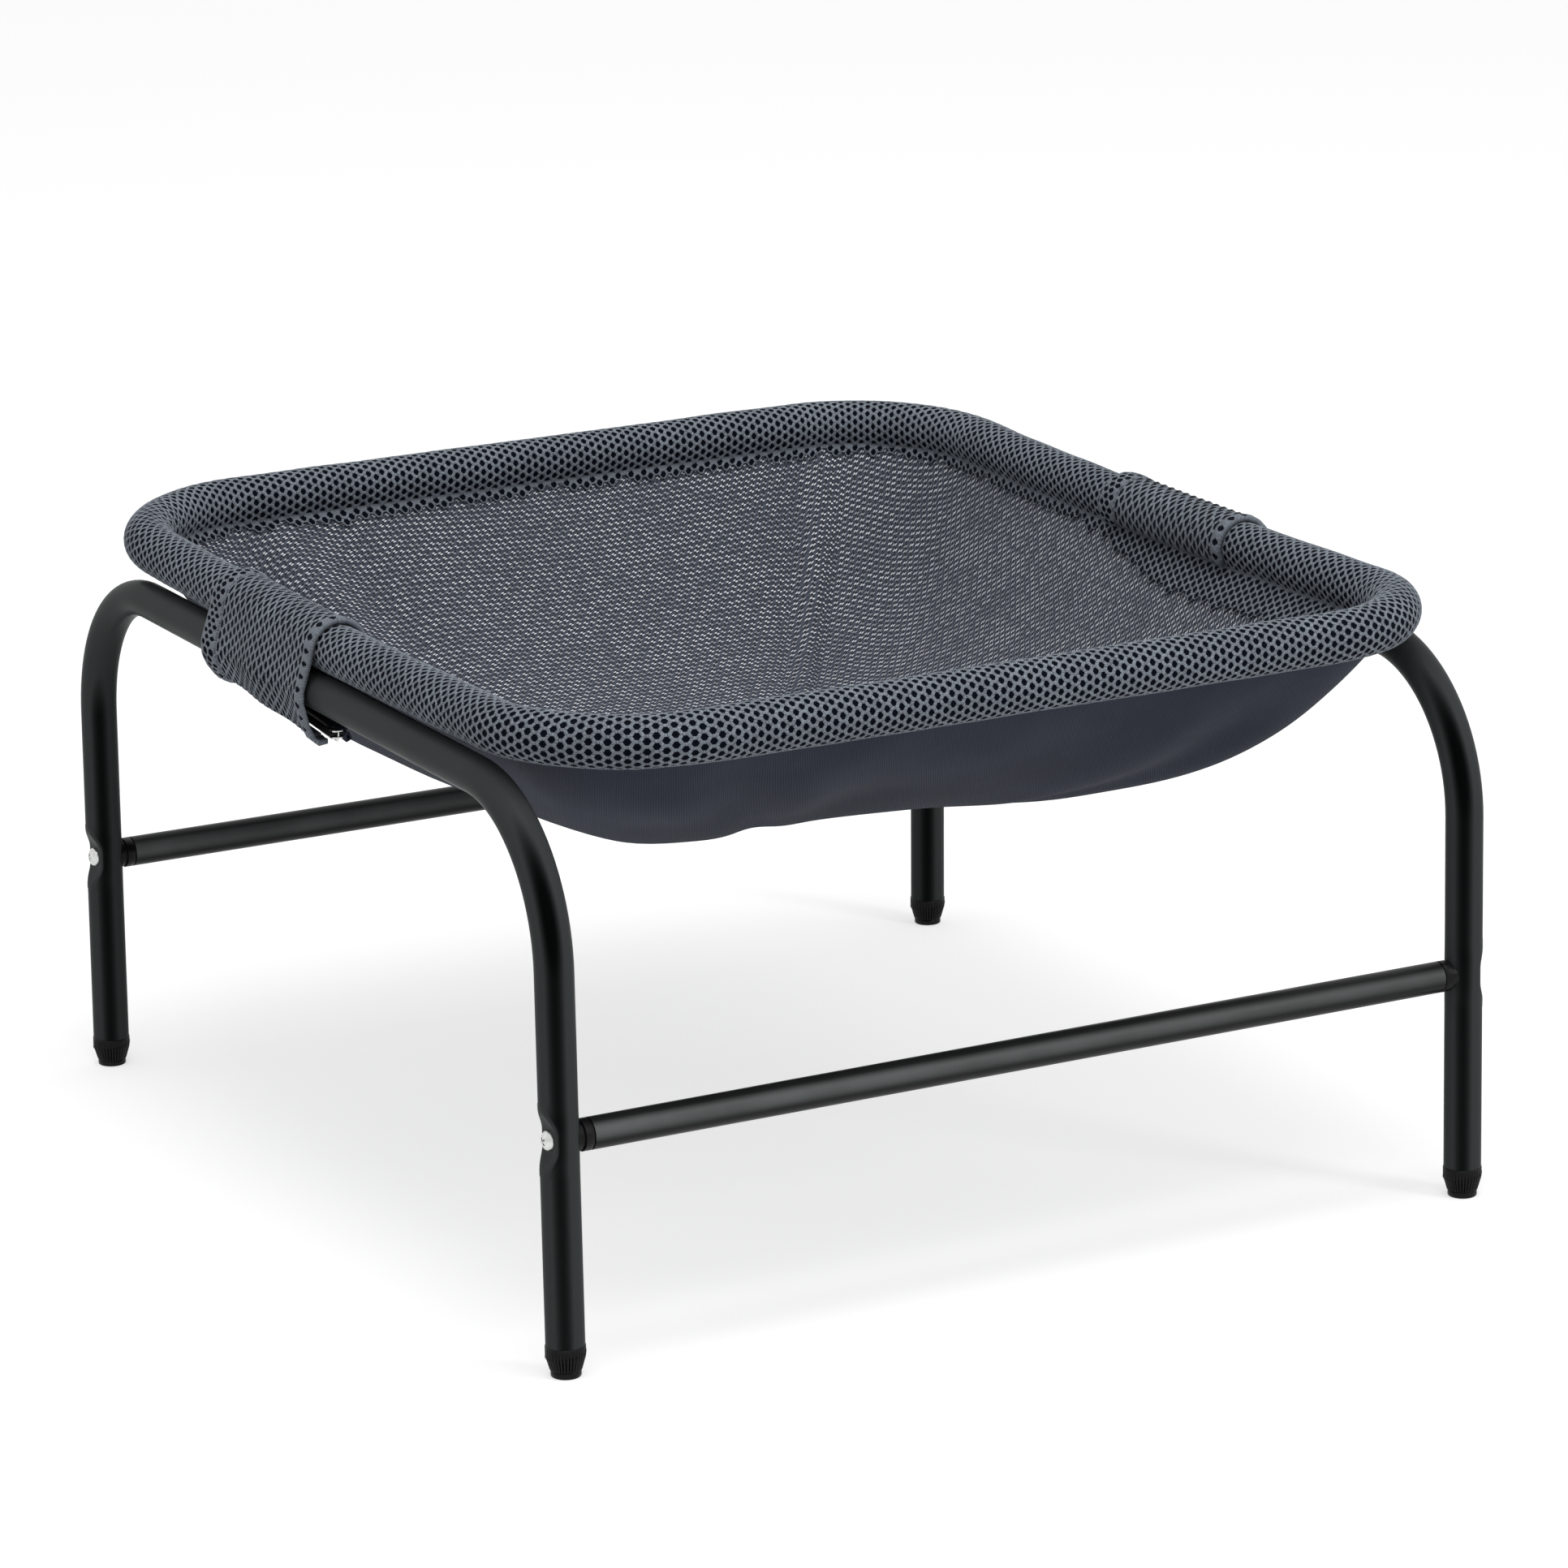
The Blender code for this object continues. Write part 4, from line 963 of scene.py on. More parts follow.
@dataclass
class TubeFrame:
    """The steel frame: two bent side tubes, two cross rails and what joins them."""

    sizes: BedSizes
    tube_segments: int = 64
    bend_steps: int = 24
    seat_steps: int = 40
    seat_depth: float = 0.0043
    seat_half_length: float = 0.0175
    seat_flat_half_length: float = 0.0036
    seat_softness: float = 0.0018
    seat_bulge: float = 0.0003
    foot_height: float = 0.0154
    rail_segments: int = 32
    collar_round: float = 0.0003
    collar_neck: float = 0.0011
    collar_ring_length: float = 0.0040
    plug_stem_radius: float = 0.0066
    plug_stem_length: float = 0.0150
    seat_to_top: float = 0.0030
    head_radius: float = 0.0051
    head_height: float = 0.0040
    head_edge: float = 0.0006
    head_steps: int = 40
    head_rings: int = 9
    head_foot_share: float = 0.985
    shank_radius: float = 0.00245
    shank_length: float = 0.0350
    cross_half_width: float = 0.0006
    cross_half_length: float = 0.0027
    cross_depth: float = 0.0020
    cross_taper: tuple[float, float] = (0.45, 0.8)
    front_cross_turn: float = math.radians(37.0)
    rear_cross_turn: float = math.radians(12.0)

    def build(self) -> None:
        """Build the whole frame."""
        for side in Side:
            self.build_side_tube(side)
        for end in End:
            self.build_rail(end)
            for side in Side:
                self.build_plug(side, end)
                self.build_screw(side, end)
                redress(f"{end.word}_{side.word}_nut", Finishes.STEEL)

    def build_side_tube(self, side: Side) -> None:
        """Build one bent tube with its pressed screw seats.

        Args:
            side: The tube's side.
        """
        sizes = self.sizes
        lean = sizes.leg_lean
        turn = math.pi / 2 - lean
        run = sizes.bend_radius * math.tan(turn / 2)
        top_half = sizes.leg_offset(sizes.top_height) - run
        centre_height = sizes.top_height - sizes.bend_radius
        bend_start = centre_height + sizes.bend_radius * math.sin(lean)
        x = side.value * sizes.frame_offset
        upward = Vector((0, sizes.leg_slope, 1))
        foot = Vector((x, -sizes.leg_offset(self.foot_height), self.foot_height))
        tube = Sweep(sizes.tube_radius, self.tube_segments, ring_place(foot, upward))
        seat_low = sizes.rail_height - self.seat_half_length - self.seat_softness
        seat_length = 2 * (self.seat_half_length + self.seat_softness)
        runs = [
            (seat_low - self.foot_height, 1),
            (seat_length, self.seat_steps),
            (bend_start - seat_low - seat_length, 1),
        ]
        for length, steps in runs:
            tube.run(upward * length, steps)
        axis = Vector((-1, 0, 0))
        tube.turn(Vector((x, -top_half, centre_height)), axis, turn, self.bend_steps)
        tube.run(Vector((0, 2 * top_half, 0)), 2)
        tube.turn(Vector((x, top_half, centre_height)), axis, turn, self.bend_steps)
        downward = Vector((0, sizes.leg_slope, -1))
        for length, steps in reversed(runs):
            tube.run(downward * length, steps)
        self.press_seats(tube.shape, side)
        node = f"{side.word}_side_frame"
        make_piece(tube.close(), f"{side.word}_bent_tube", Finishes.PAINT, stands_for=[node])

    def press_seats(self, shape: bmesh.types.BMesh, side: Side) -> None:
        """Press the flat screw seats into the outer side of a tube's legs.

        Args:
            shape: The bent tube.
            side: The tube's side.
        """
        sizes = self.sizes
        ramp = self.seat_half_length - self.seat_flat_half_length
        for vert in shape.verts:
            away = abs(vert.co.z - sizes.rail_height) - self.seat_flat_half_length
            if away > ramp:
                continue
            press = (1 + math.cos(math.pi * clamp(away / ramp))) / 2
            outward = side.value * vert.co.x - sizes.frame_offset
            limit = sizes.tube_radius - self.seat_depth * press
            blend = clamp(0.5 + 0.5 * (limit - outward) / self.seat_softness)
            pressed = limit + (outward - limit) * blend
            pressed -= self.seat_softness * blend * (1 - blend) * press
            vert.co.x = side.value * (sizes.frame_offset + pressed)
            end = 1 if vert.co.y > 0 else -1
            across = vert.co.y - end * sizes.leg_offset(vert.co.z)
            vert.co.y += self.seat_bulge * press * across / sizes.tube_radius

    def build_rail(self, end: End) -> None:
        """Build one cross rail.

        Args:
            end: The rail's end of the bed.
        """
        sizes = self.sizes
        offset = end.value * sizes.leg_offset(sizes.rail_height)
        start = Vector((-sizes.rail_reach, offset, sizes.rail_height))
        rail = Sweep(sizes.rail_radius, self.rail_segments, ring_place(start, Vector((1, 0, 0))))
        rail.run(Vector((2 * sizes.rail_reach, 0, 0)), 2)
        make_piece(rail.close(), f"{end.word}_rail_tube", Finishes.RAIL_PAINT,
                   stands_for=[f"{end.word}_cross_rail"])

    def build_plug(self, side: Side, end: End) -> None:
        """Build the plug in a rail's end, with the collar that fits round the leg.

        Args:
            side: The plug's side.
            end: Its end of the bed.
        """
        sizes = self.sizes
        out = Vector((side.value, 0, 0))
        axis_y = end.value * sizes.leg_offset(sizes.rail_height)
        start = Vector((side.value * (sizes.rail_reach - self.plug_stem_length), axis_y, sizes.rail_height))
        plug = Sweep(self.plug_stem_radius, self.rail_segments, ring_place(start, out))
        groove = sizes.rail_radius - 2 * self.collar_round
        neck = sizes.rail_radius - self.collar_neck
        plug.follow(out, self.plug_stem_radius, (
            (self.plug_stem_length + sizes.gap, self.plug_stem_radius),
            (0.0, groove),
            (self.collar_round, groove),
            (self.collar_round / 2, sizes.rail_radius - self.collar_round / 3),
            (self.collar_round / 2, sizes.rail_radius),
            (self.collar_ring_length, sizes.rail_radius),
            (self.collar_round, neck),
            (sizes.tube_radius / 2, neck),
        ))
        seat = sizes.tube_radius + sizes.gap
        for vert in plug.ring_verts():
            across = vert.co.y - end.value * sizes.leg_offset(vert.co.z)
            vert.co.x = side.value * (sizes.frame_offset - math.sqrt(seat ** 2 - across ** 2))
        label = f"{end.word}_{side.word}_rail_plug"
        make_piece(plug.close(), f"{label}_moulding", Finishes.PLASTIC, stands_for=[label])

    def build_screw(self, side: Side, end: End) -> None:
        """Build a pan head screw with its cross recess.

        Args:
            side: The screw's side.
            end: Its end of the bed.
        """
        dome = self.head_height - self.head_edge
        profile = [(0.0, self.head_height)]
        for ring in range(1, self.head_rings + 1):
            angle = math.pi / 2 * (1 - ring / self.head_rings)
            profile.append((self.head_radius * math.cos(angle), self.head_edge + dome * math.sin(angle)))
        profile += [(self.head_radius * self.head_foot_share, 0.0), (self.shank_radius, 0.0),
                    (self.shank_radius, -self.shank_length), (0.0, -self.shank_length)]
        screw = spun_profile(profile, self.head_steps)
        for quarter in range(2):
            bar = bmesh.new()
            for vert in bmesh.ops.create_cube(bar, size=2.0)["verts"]:
                deep = vert.co.z < 0
                vert.co.x *= self.cross_half_length * (self.cross_taper[0] if deep else 1.0)
                vert.co.y *= self.cross_half_width * (self.cross_taper[1] if deep else 1.0)
                vert.co.z = self.head_height + (-self.cross_depth if deep else self.head_edge)
            bmesh.ops.rotate(bar, verts=bar.verts, matrix=Matrix.Rotation(quarter * math.pi / 2, 3, "Z"))
            screw = cut_away(screw, faced_out(bar))
        label = f"{end.word}_{side.word}_screw"
        low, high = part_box(label)
        reach = max(abs(low.x), abs(high.x)) - self.seat_to_top
        turn = self.front_cross_turn if end is End.FRONT else self.rear_cross_turn
        spin = Matrix.Rotation(turn, 4, "Z")
        place = Vector((side.value * reach, (low.y + high.y) / 2, self.sizes.rail_height))
        bmesh.ops.transform(screw, matrix=side_facing(side, place) @ spin, verts=screw.verts)
        make_piece(screw, f"{label}_cross_head", Finishes.ZINC, stands_for=[label])


@dataclass
class FootCap:
    """A plastic cap on a leg's end: a slanted smooth band, long ribs that taper down and a short base."""

    sizes: BedSizes
    side: Side
    end: End
    rib_count: int = 36
    steps_per_rib: int = 6
    base_height: float = 0.0030
    base_radius: float = 0.0074
    skirt_low_radius: float = 0.0078
    skirt_high_radius: float = 0.0100
    skirt_top: float = 0.0114
    band_radius: float = 0.0098
    top: float = 0.0154
    rib_depth: float = 0.00075
    rib_rings: int = 6
    slant: float = 0.0017
    soft: float = 0.0004

    def build(self) -> None:
        """Build the cap, leaning with its leg and flat on the floor."""
        sizes = self.sizes
        soft = self.soft
        low, high = self.skirt_low_radius, self.skirt_high_radius
        rise = (self.skirt_top - self.base_height - 2 * soft) / self.rib_rings
        profile = [(soft, self.base_radius), (self.base_height - 2 * soft, self.base_radius),
                   (soft, self.base_radius - soft), (0.0, low - self.rib_depth), (soft, low)]
        step = (high - low) / self.rib_rings
        profile += [(rise, low + step * ring) for ring in range(1, self.rib_rings + 1)]
        profile += [(soft, high - soft / 2), (0.0, self.band_radius),
                    (self.top - self.skirt_top - soft, self.band_radius), (soft, self.band_radius - soft)]
        cap = Sweep(self.base_radius - soft, self.rib_count * self.steps_per_rib, ring_place(Vector(), UP))
        cap.follow(UP, self.base_radius - soft, profile)
        self.flute(cap.shape)
        shape = cap.close()
        foot = Vector((self.side.value * sizes.frame_offset, self.end.value * sizes.leg_offset(0.0), 0))
        lean = Matrix.Rotation(self.end.value * sizes.leg_lean, 4, "X")
        for vert in shape.verts:
            level = vert.co.z
            vert.co = foot + lean @ vert.co
            if level == 0.0:
                vert.co.z = 0.0
        label = f"{self.end.word}_{self.side.word}_foot_cap"
        make_piece(shape, f"{label}_ribbed", Finishes.PLASTIC, stands_for=[label], crease=SHARP_TURN)

    def flute(self, shape: bmesh.types.BMesh) -> None:
        """Press rounded valleys between the ribs and slant the line where they end.

        Args:
            shape: The round cap.
        """
        low = self.base_height + self.soft / 2
        for vert in shape.verts:
            if low < vert.co.z < self.skirt_top + self.soft / 2:
                angle = math.atan2(vert.co.y, vert.co.x)
                valley = (1 - math.cos(self.rib_count * angle)) / 2
                reach = vert.co.xy.length
                vert.co.xy *= (reach - self.rib_depth * valley ** 2) / reach
            if abs(vert.co.z - self.skirt_top) < self.soft * 1.5:
                vert.co.z += self.slant * vert.co.x / self.skirt_high_radius


@dataclass(frozen=True)
class RimRoute:
    """The closed line of the rim's axis: a rectangle with round corners, from the front right corner."""

    sizes: BedSizes

    @property
    def across(self) -> float:
        """Half the straight stretch along X."""
        return self.sizes.rim_width / 2 - self.sizes.rim_corner_radius

    @property
    def along(self) -> float:
        """Half the straight stretch along Y."""
        return self.sizes.rim_depth / 2 - self.sizes.rim_corner_radius

    @property
    def arc(self) -> float:
        """The length of one corner."""
        return self.sizes.rim_corner_radius * math.pi / 2

    @property
    def length(self) -> float:
        """The whole way round."""
        return 4 * (self.across + self.along + self.arc)

    def at(self, distance: float) -> tuple[Vector, Vector, float]:
        """Find a place on the line.

        Args:
            distance: The way gone round, anticlockwise from the front right corner.

        Returns:
            The place in plan, the outward direction and how deep it lies in a corner, from 0 to 1.
        """
        left = distance % self.length
        signs = ((1, -1), (1, 1), (-1, 1), (-1, -1))
        radius = self.sizes.rim_corner_radius
        for quarter, (sign_x, sign_y) in enumerate(signs):
            centre = Vector((sign_x * self.across, sign_y * self.along, 0))
            start = (quarter - 1) * math.pi / 2
            if left <= self.arc:
                angle = start + left / radius
                outward = Vector((math.cos(angle), math.sin(angle), 0))
                return centre + outward * radius, outward, math.sin(math.pi * left / self.arc)
            left -= self.arc
            straight = 2 * (self.along if quarter % 2 == 0 else self.across)
            if left <= straight:
                angle = start + math.pi / 2
                outward = Vector((math.cos(angle), math.sin(angle), 0))
                onward = Vector((-outward.y, outward.x, 0))
                return centre + outward * radius + onward * left, outward, 0.0
            left -= straight
        return self.at(0.0)

    def around(self, distance: float, angle: float, radius: float) -> Vector:
        """Return a point near the rim: an angle of zero points outward and a right angle points up.

        Args:
            distance: The way gone round.
            angle: The angle about the rim's axis.
            radius: How far from the axis.

        Returns:
            The point.
        """
        place, outward, _ = self.at(distance)
        height = self.sizes.rim_height(place.y) + radius * math.sin(angle)
        return place + outward * (radius * math.cos(angle)) + UP * height


@dataclass(frozen=True)
class HoledLattice:
    """Spacer mesh: round holes in staggered rows, sunk between raised strands.

    The pitch is the way from hole to hole in a row. Places on the mesh are counted in half pitches and in
    half rows, and the value of row is half a hole's height.
    """

    pitch: float = 0.0079
    row: float = 0.00256
    zigzag_share: float = 0.21
    strand: float = 0.00088
    crown: float = 0.00034
    pit: float = 0.0012
    wall: float = 0.0022

    def panel(self, columns: int, rows: int, place: Placer, wraps: bool, plain_rows: int = 0,
              keep: Callable[[float, float], bool] | None = None) -> bmesh.types.BMesh:
        """Build a closed panel of mesh with its holes on the outer side.

        Args:
            columns: Half pitches along the rows.
            rows: Half rows across them.
            place: Gives a point for a column, a row and a depth under the outer side.
            wraps: Whether the last column joins the first.
            plain_rows: Half rows at both edges that carry no holes.
            keep: Tells whether a cell at a column and a row belongs to the panel; all do without it.

        Returns:
            The panel's shape, with its uv map and its hole attribute.
        """
        shape, marks = cloth_grid(columns, rows, holed=True)
        along = shape.verts.layers.float["along"]
        across = shape.verts.layers.float["across"]
        hole = shape.loops.layers.float_color["hole"]
        for vert, (column, row) in marks.items():
            lean = self.zigzag_share if (column + row) % 2 else -self.zigzag_share
            edge = not wraps and column in (0, columns)
            vert[along] = column + (0.0 if edge else lean)
            vert[across] = row
        doomed = []
        for edge in shape.edges:
            (column_a, row_a), (column_b, row_b) = (marks[vert] for vert in edge.verts)
            if row_a == row_b and 0 < row_a < rows and (min(column_a, column_b) + row_a) % 2 == 0:
                doomed.append(edge)
        bmesh.ops.dissolve_edges(shape, edges=doomed, use_verts=False)
        if keep:
            cut = [face for face in shape.faces
                   if not keep(*(sum(vert[way] for vert in face.verts) / len(face.verts)
                                 for way in (along, across)))]
            bmesh.ops.delete(shape, geom=cut, context="FACES")
        lay_out(shape, lambda vert: (vert[along] * self.pitch / 2, vert[across] * self.row))
        for vert in shape.verts:
            vert.co = place(vert[along], vert[across], 0.0)
        if wraps:
            bmesh.ops.remove_doubles(shape, verts=shape.verts, dist=WELD)
        front = shape.faces[:]
        for vert in thicken(shape, front):
            vert.co = place(vert[along], vert[across], self.wall)
        faced_out(shape)
        holed = [face for face in front if self.is_whole(face, across, rows, plain_rows)]
        bmesh.ops.inset_individual(shape, faces=holed, thickness=self.strand, depth=-self.crown,
                                   use_even_offset=True)
        sunk = bmesh.ops.poke(shape, faces=holed, offset=-self.pit)
        tips = set(sunk["verts"])
        pits = set(sunk["faces"])
        # The hole attribute is 0 on the strands and rises into the pits, where the mesh's material paints
        # shade.
        for face in shape.faces:
            for loop in face.loops:
                level = 0.0 if face not in pits else 1.0 if loop.vert in tips else 0.5
                loop[hole] = (level, level, level, 1.0)
        return shape

    @staticmethod
    def is_whole(face: bmesh.types.BMFace, across: object, rows: int, plain_rows: int) -> bool:
        """Tell whether a face of the lattice is a whole cell away from the plain edges."""
        levels = [vert[across] for vert in face.verts]
        low, high = plain_rows - 0.5, rows - plain_rows + 0.5
        return len(levels) == CELL_CORNERS and min(levels) >= low and max(levels) <= high


@dataclass
class PaddedRim:
    """The hammock's rim: a steel ring in a foam tube in a sleeve of spacer mesh."""

    sizes: BedSizes
    lattice: HoledLattice = HoledLattice()
    columns: int = 492
    rows: int = 32
    slit_half_angle: float = math.radians(7.0)
    fin: float = 0.0018
    fin_half_gap: float = 0.0010
    drop: float = 0.0010
    drop_spread: float = math.radians(24.0)
    lump: float = 0.0005
    lump_size: float = 0.035
    pucker: float = 0.00045
    pucker_size: float = 0.011
    foam_segments: int = 20
    foam_steps: int = 200
    foam_inner: float = 0.0036
    foam_slit: float = math.radians(12.0)

    def build(self) -> None:
        """Build the sleeve and the foam, and give the ring its finish."""
        redress("rim_core_ring", Finishes.STEEL)
        self.build_foam()
        self.build_sleeve()

    def sleeve_point(self, column: float, row: float, depth: float) -> Vector:
        """Return a point of the sleeve for a column, a row and a depth under its outer side.

        Args:
            column: Half pitches along the rim.
            row: Half rows round it.
            depth: The depth under the outer side.

        Returns:
            The point.
        """
        sizes = self.sizes
        route = RimRoute(sizes)
        distance = column / self.columns * route.length
        sweep = 2 * (math.pi - self.slit_half_angle)
        share = clamp((row - 1) / (self.rows - 2))
        angle = sizes.seam_angle + self.slit_half_angle + sweep * share
        away = math.pi - abs(math.pi - (angle - sizes.seam_angle) % (2 * math.pi))
        _, outward, corner = route.at(distance)
        inner = max(-math.cos(angle), 0.0)
        radius = sizes.rim_radius + self.drop * math.exp(-(away / self.drop_spread) ** 2)
        where = route.around(distance, angle, radius)
        radius += self.lump * noise.noise(where / self.lump_size)
        radius += self.pucker * corner * inner * math.sin(2 * math.pi * distance / self.pucker_size)
        if 1 <= row <= self.rows - 1:
            return route.around(distance, angle, radius - depth)
        seam = route.around(distance, sizes.seam_angle, radius + self.fin)
        aside = outward * math.sin(sizes.seam_angle) - UP * math.cos(sizes.seam_angle)
        sign = 1 if row < 1 else -1
        return seam - aside * sign * (self.fin_half_gap - depth / 3)

    def build_sleeve(self) -> None:
        """Build the holed sleeve."""
        shape = self.lattice.panel(self.columns, self.rows, self.sleeve_point, wraps=True, plain_rows=1)
        sleeve = make_piece(shape, "rim_sleeve_cloth", Finishes.AIR_MESH, stands_for=["rim_mesh_sleeve"],
                            crease=math.pi)
        flat = (RimRoute(self.sizes).length, 2 * math.pi * self.sizes.rim_radius)

    def build_foam(self) -> None:
        """Build the slit foam tube."""
        sizes = self.sizes
        route = RimRoute(sizes)
        outer = sizes.rim_radius - self.lattice.wall - self.lattice.crown - sizes.gap
        sweep = 2 * (math.pi - self.foam_slit)
        angles = [sizes.seam_angle + self.foam_slit + sweep * step / self.foam_segments
                  for step in range(self.foam_segments + 1)]
        section = [(angle, outer) for angle in angles]
        section += [(angle, self.foam_inner) for angle in reversed(angles)]
        shape = bmesh.new()
        verts = [shape.verts.new(route.around(0.0, angle, radius)) for angle, radius in section]
        ring = [shape.edges.new((verts[index - 1], verts[index])) for index in range(len(verts))]
        for step in range(self.foam_steps):
            grown = bmesh.ops.extrude_edge_only(shape, edges=ring)["geom"]
            fresh = [part for part in grown if isinstance(part, bmesh.types.BMVert)]
            ring = [part for part in grown if isinstance(part, bmesh.types.BMEdge)
                    and all(vert in fresh for vert in part.verts)]
            start, stop = (route.length * turn / self.foam_steps for turn in (step, step + 1))
            self.carry_on(fresh, route, start, stop)
        bmesh.ops.remove_doubles(shape, verts=shape.verts, dist=WELD)
        foam = make_piece(faced_out(shape), "rim_foam_padding", Finishes.FOAM, stands_for=["rim_foam_tube"])

    @staticmethod
    def carry_on(verts: list[bmesh.types.BMVert], route: RimRoute, start: float, stop: float) -> None:
        """Carry a cross section's vertices from one place on the route to another.

        Args:
            verts: The cross section's vertices.
            route: The rim's route.
            start: The way round where they are.
            stop: The way round where they go.
        """
        place, outward, _ = route.at(start)
        next_place, next_outward, _ = route.at(stop)
        climb = route.sizes.rim_height(next_place.y) - route.sizes.rim_height(place.y)
        for vert in verts:
            reach = (vert.co - place).dot(outward)
            vert.co = next_place + next_outward * reach + UP * (vert.co.z + climb)


@dataclass
class Hammock:
    """The bowl: an inner layer of flecked mesh and an outer layer of ribbed cloth.

    Each fold gives its middle along X, its end of the bed, its half width and its depth. Each sag gives its
    middle in plan, its reach and how far the cloth lies lower there; less than zero lies higher.
    """

    sizes: BedSizes
    depth: float = 0.1070
    wall_power: float = 4.0
    back_swell_share: float = 0.22
    right_swell_share: float = 0.10
    inner_thickness: float = 0.0015
    outer_thickness: float = 0.0008
    layer_gap: float = 0.0004
    round_share: float = 0.8
    columns: int = 300
    rings: int = 64
    folds: tuple[tuple[float, int, float, float], ...] = (
        (-0.150, -1, 0.036, 0.0052), (0.165, -1, 0.042, 0.0035), (-0.150, 1, 0.030, 0.0060),
        (0.184, 1, 0.013, 0.0045))
    sags: tuple[tuple[float, float, float, float], ...] = (
        (0.045, -0.195, 0.080, -0.0065), (0.185, -0.225, 0.045, 0.0028), (-0.150, -0.185, 0.045, -0.0060),
        (-0.055, -0.195, 0.060, -0.0110), (-0.015, -0.125, 0.085, -0.0050), (0.215, -0.190, 0.040, -0.0040))
    fold_peak_share: float = 0.84
    fold_end_share: float = 0.35
    wrinkle: float = 0.0016
    wrinkle_size: float = 0.06
    seam_calm_power: float = 8.0
    centre_calm_share: float = 0.25
    collar_lattice: HoledLattice = HoledLattice(wall=0.0008, pit=0.0005, crown=0.0002, strand=0.00072)
    collar_columns: int = 492
    collar_rows: int = 12
    collar_width: float = 0.0045
    collar_mean_width: float = 0.0100
    collar_patch: float = 0.0170
    collar_patch_reach: float = 0.1000
    collar_patch_shift: float = 0.0525
    collar_ragged: float = 0.003
    collar_ragged_scale: float = 90.0
    spoke_step: float = 0.004
    spoke_points: int = 60

    def __post_init__(self) -> None:
        """Start with no spoke walked."""
        self.spokes: dict[float, list] = {}

    def press(self, place: Vector, share: float) -> float:
        """Return how far the cloth is pressed in at the folds that run down from the front and rear edges.

        Args:
            place: The rim's place above the point.
            share: The share of the way out from the centre.

        Returns:
            The depth of the press.
        """
        if share >= 1.0 or share <= self.fold_end_share:
            return 0.0
        fade = min((1.0 - share) / (1.0 - self.fold_peak_share),
                   (share - self.fold_end_share) / (self.fold_peak_share - self.fold_end_share))
        edge = self.sizes.rim_depth / 2 - self.sizes.rim_corner_radius
        pressed = 0.0
        for middle, end, half_width, depth in self.folds:
            reach = (place.x - middle) / half_width
            on_end = clamp((end * place.y - edge) / (self.sizes.rim_corner_radius / 2))
            pressed += depth * (1 - 2 * reach ** 2) * math.exp(-reach ** 2) * on_end
        return pressed * math.sin(fade * math.pi / 2)

    def point(self, distance: float, share: float) -> Vector:
        """Return a point of the hammock's middle surface; a share of 1 is the seam and 0 the centre.

        Args:
            distance: The place along the rim.
            share: The share of the way out from the centre.

        Returns:
            The point.
        """
        sizes = self.sizes
        route = RimRoute(sizes)
        seam_radius = sizes.rim_radius + sizes.seam_gap
        place, outward, _ = route.at(distance)
        seam = route.around(distance, sizes.seam_angle, seam_radius)
        across = seam.x * share
        along = seam.y * share
        swell = 1 + self.right_swell_share * across / (sizes.rim_width / 2)
        swell += self.back_swell_share * along / (sizes.rim_depth / 2)
        drop = self.depth * swell * (1 - share ** self.wall_power)
        side_seam = sizes.rim_side_height + seam_radius * math.sin(sizes.seam_angle)
        level = side_seam + (seam.z - side_seam) * share
        press = self.press(place, share)
        calm = (1 - share ** self.seam_calm_power) * min(share / self.centre_calm_share, 1.0)
        for middle, place_y, reach, amount in self.sags:
            drop += amount * calm * math.exp(-((across - middle) ** 2 + (along - place_y) ** 2) / reach ** 2)
        point = Vector((across, along, level - drop + press / 2)) - outward * press
        where = Vector((across, along, level - drop)) / self.wrinkle_size
        return point + UP * (self.wrinkle * calm * noise.noise(where))

    def layer(self, offset: float) -> bmesh.types.BMesh:
        """Build one layer's surface, moved off the middle surface by an offset.

        Args:
            offset: How far up the layer is moved.

        Returns:
            The layer's open surface.
        """
        route = RimRoute(self.sizes)
        shape, marks = cloth_grid(self.columns, self.rings)
        shares = [math.sin(math.pi / 2 * ring / self.rings) for ring in range(self.rings + 1)]
        table = {}
        for column in range(self.columns + 1):
            distance = route.length * (column % self.columns) / self.columns
            table[column] = with_way([self.point(distance, share) for share in shares])
        flat = {}
        for vert, (column, ring) in marks.items():
            spoke = table[column]
            here, gone = spoke[ring]
            after = table[(column + 1) % self.columns][ring][0]
            before = table[(column - 1) % self.columns][ring][0]
            inner = spoke[max(ring - 1, 0)][0]
            normal = (after - before).cross(inner - here)
            normal = normal.normalized() if ring > 0 and normal.length > 0 else UP
            seam = spoke[-1][0]
            plan = Vector((seam.x, seam.y, 0)).normalized()
            flat[vert] = (plan.x * gone, plan.y * gone)
            vert.co = here + normal * offset
        lay_out(shape, flat.get)
        bmesh.ops.remove_doubles(shape, verts=shape.verts, dist=WELD)
        faced_out(shape)
        if sum(face.normal.z for face in shape.faces) < 0:
            bmesh.ops.reverse_faces(shape, faces=shape.faces[:])
        return shape

    def spoke(self, distance: float) -> list[tuple[Vector, float]]:
        """Return points down the wall from the seam, each with the way gone from it.

        Args:
            distance: The place along the rim.

        Returns:
            The points with the way gone.
        """
        key = round(distance, 5)
        if key not in self.spokes:
            points = [self.point(distance, 1 - self.spoke_step * step) for step in range(self.spoke_points)]
            self.spokes[key] = with_way(points)
        return self.spokes[key]

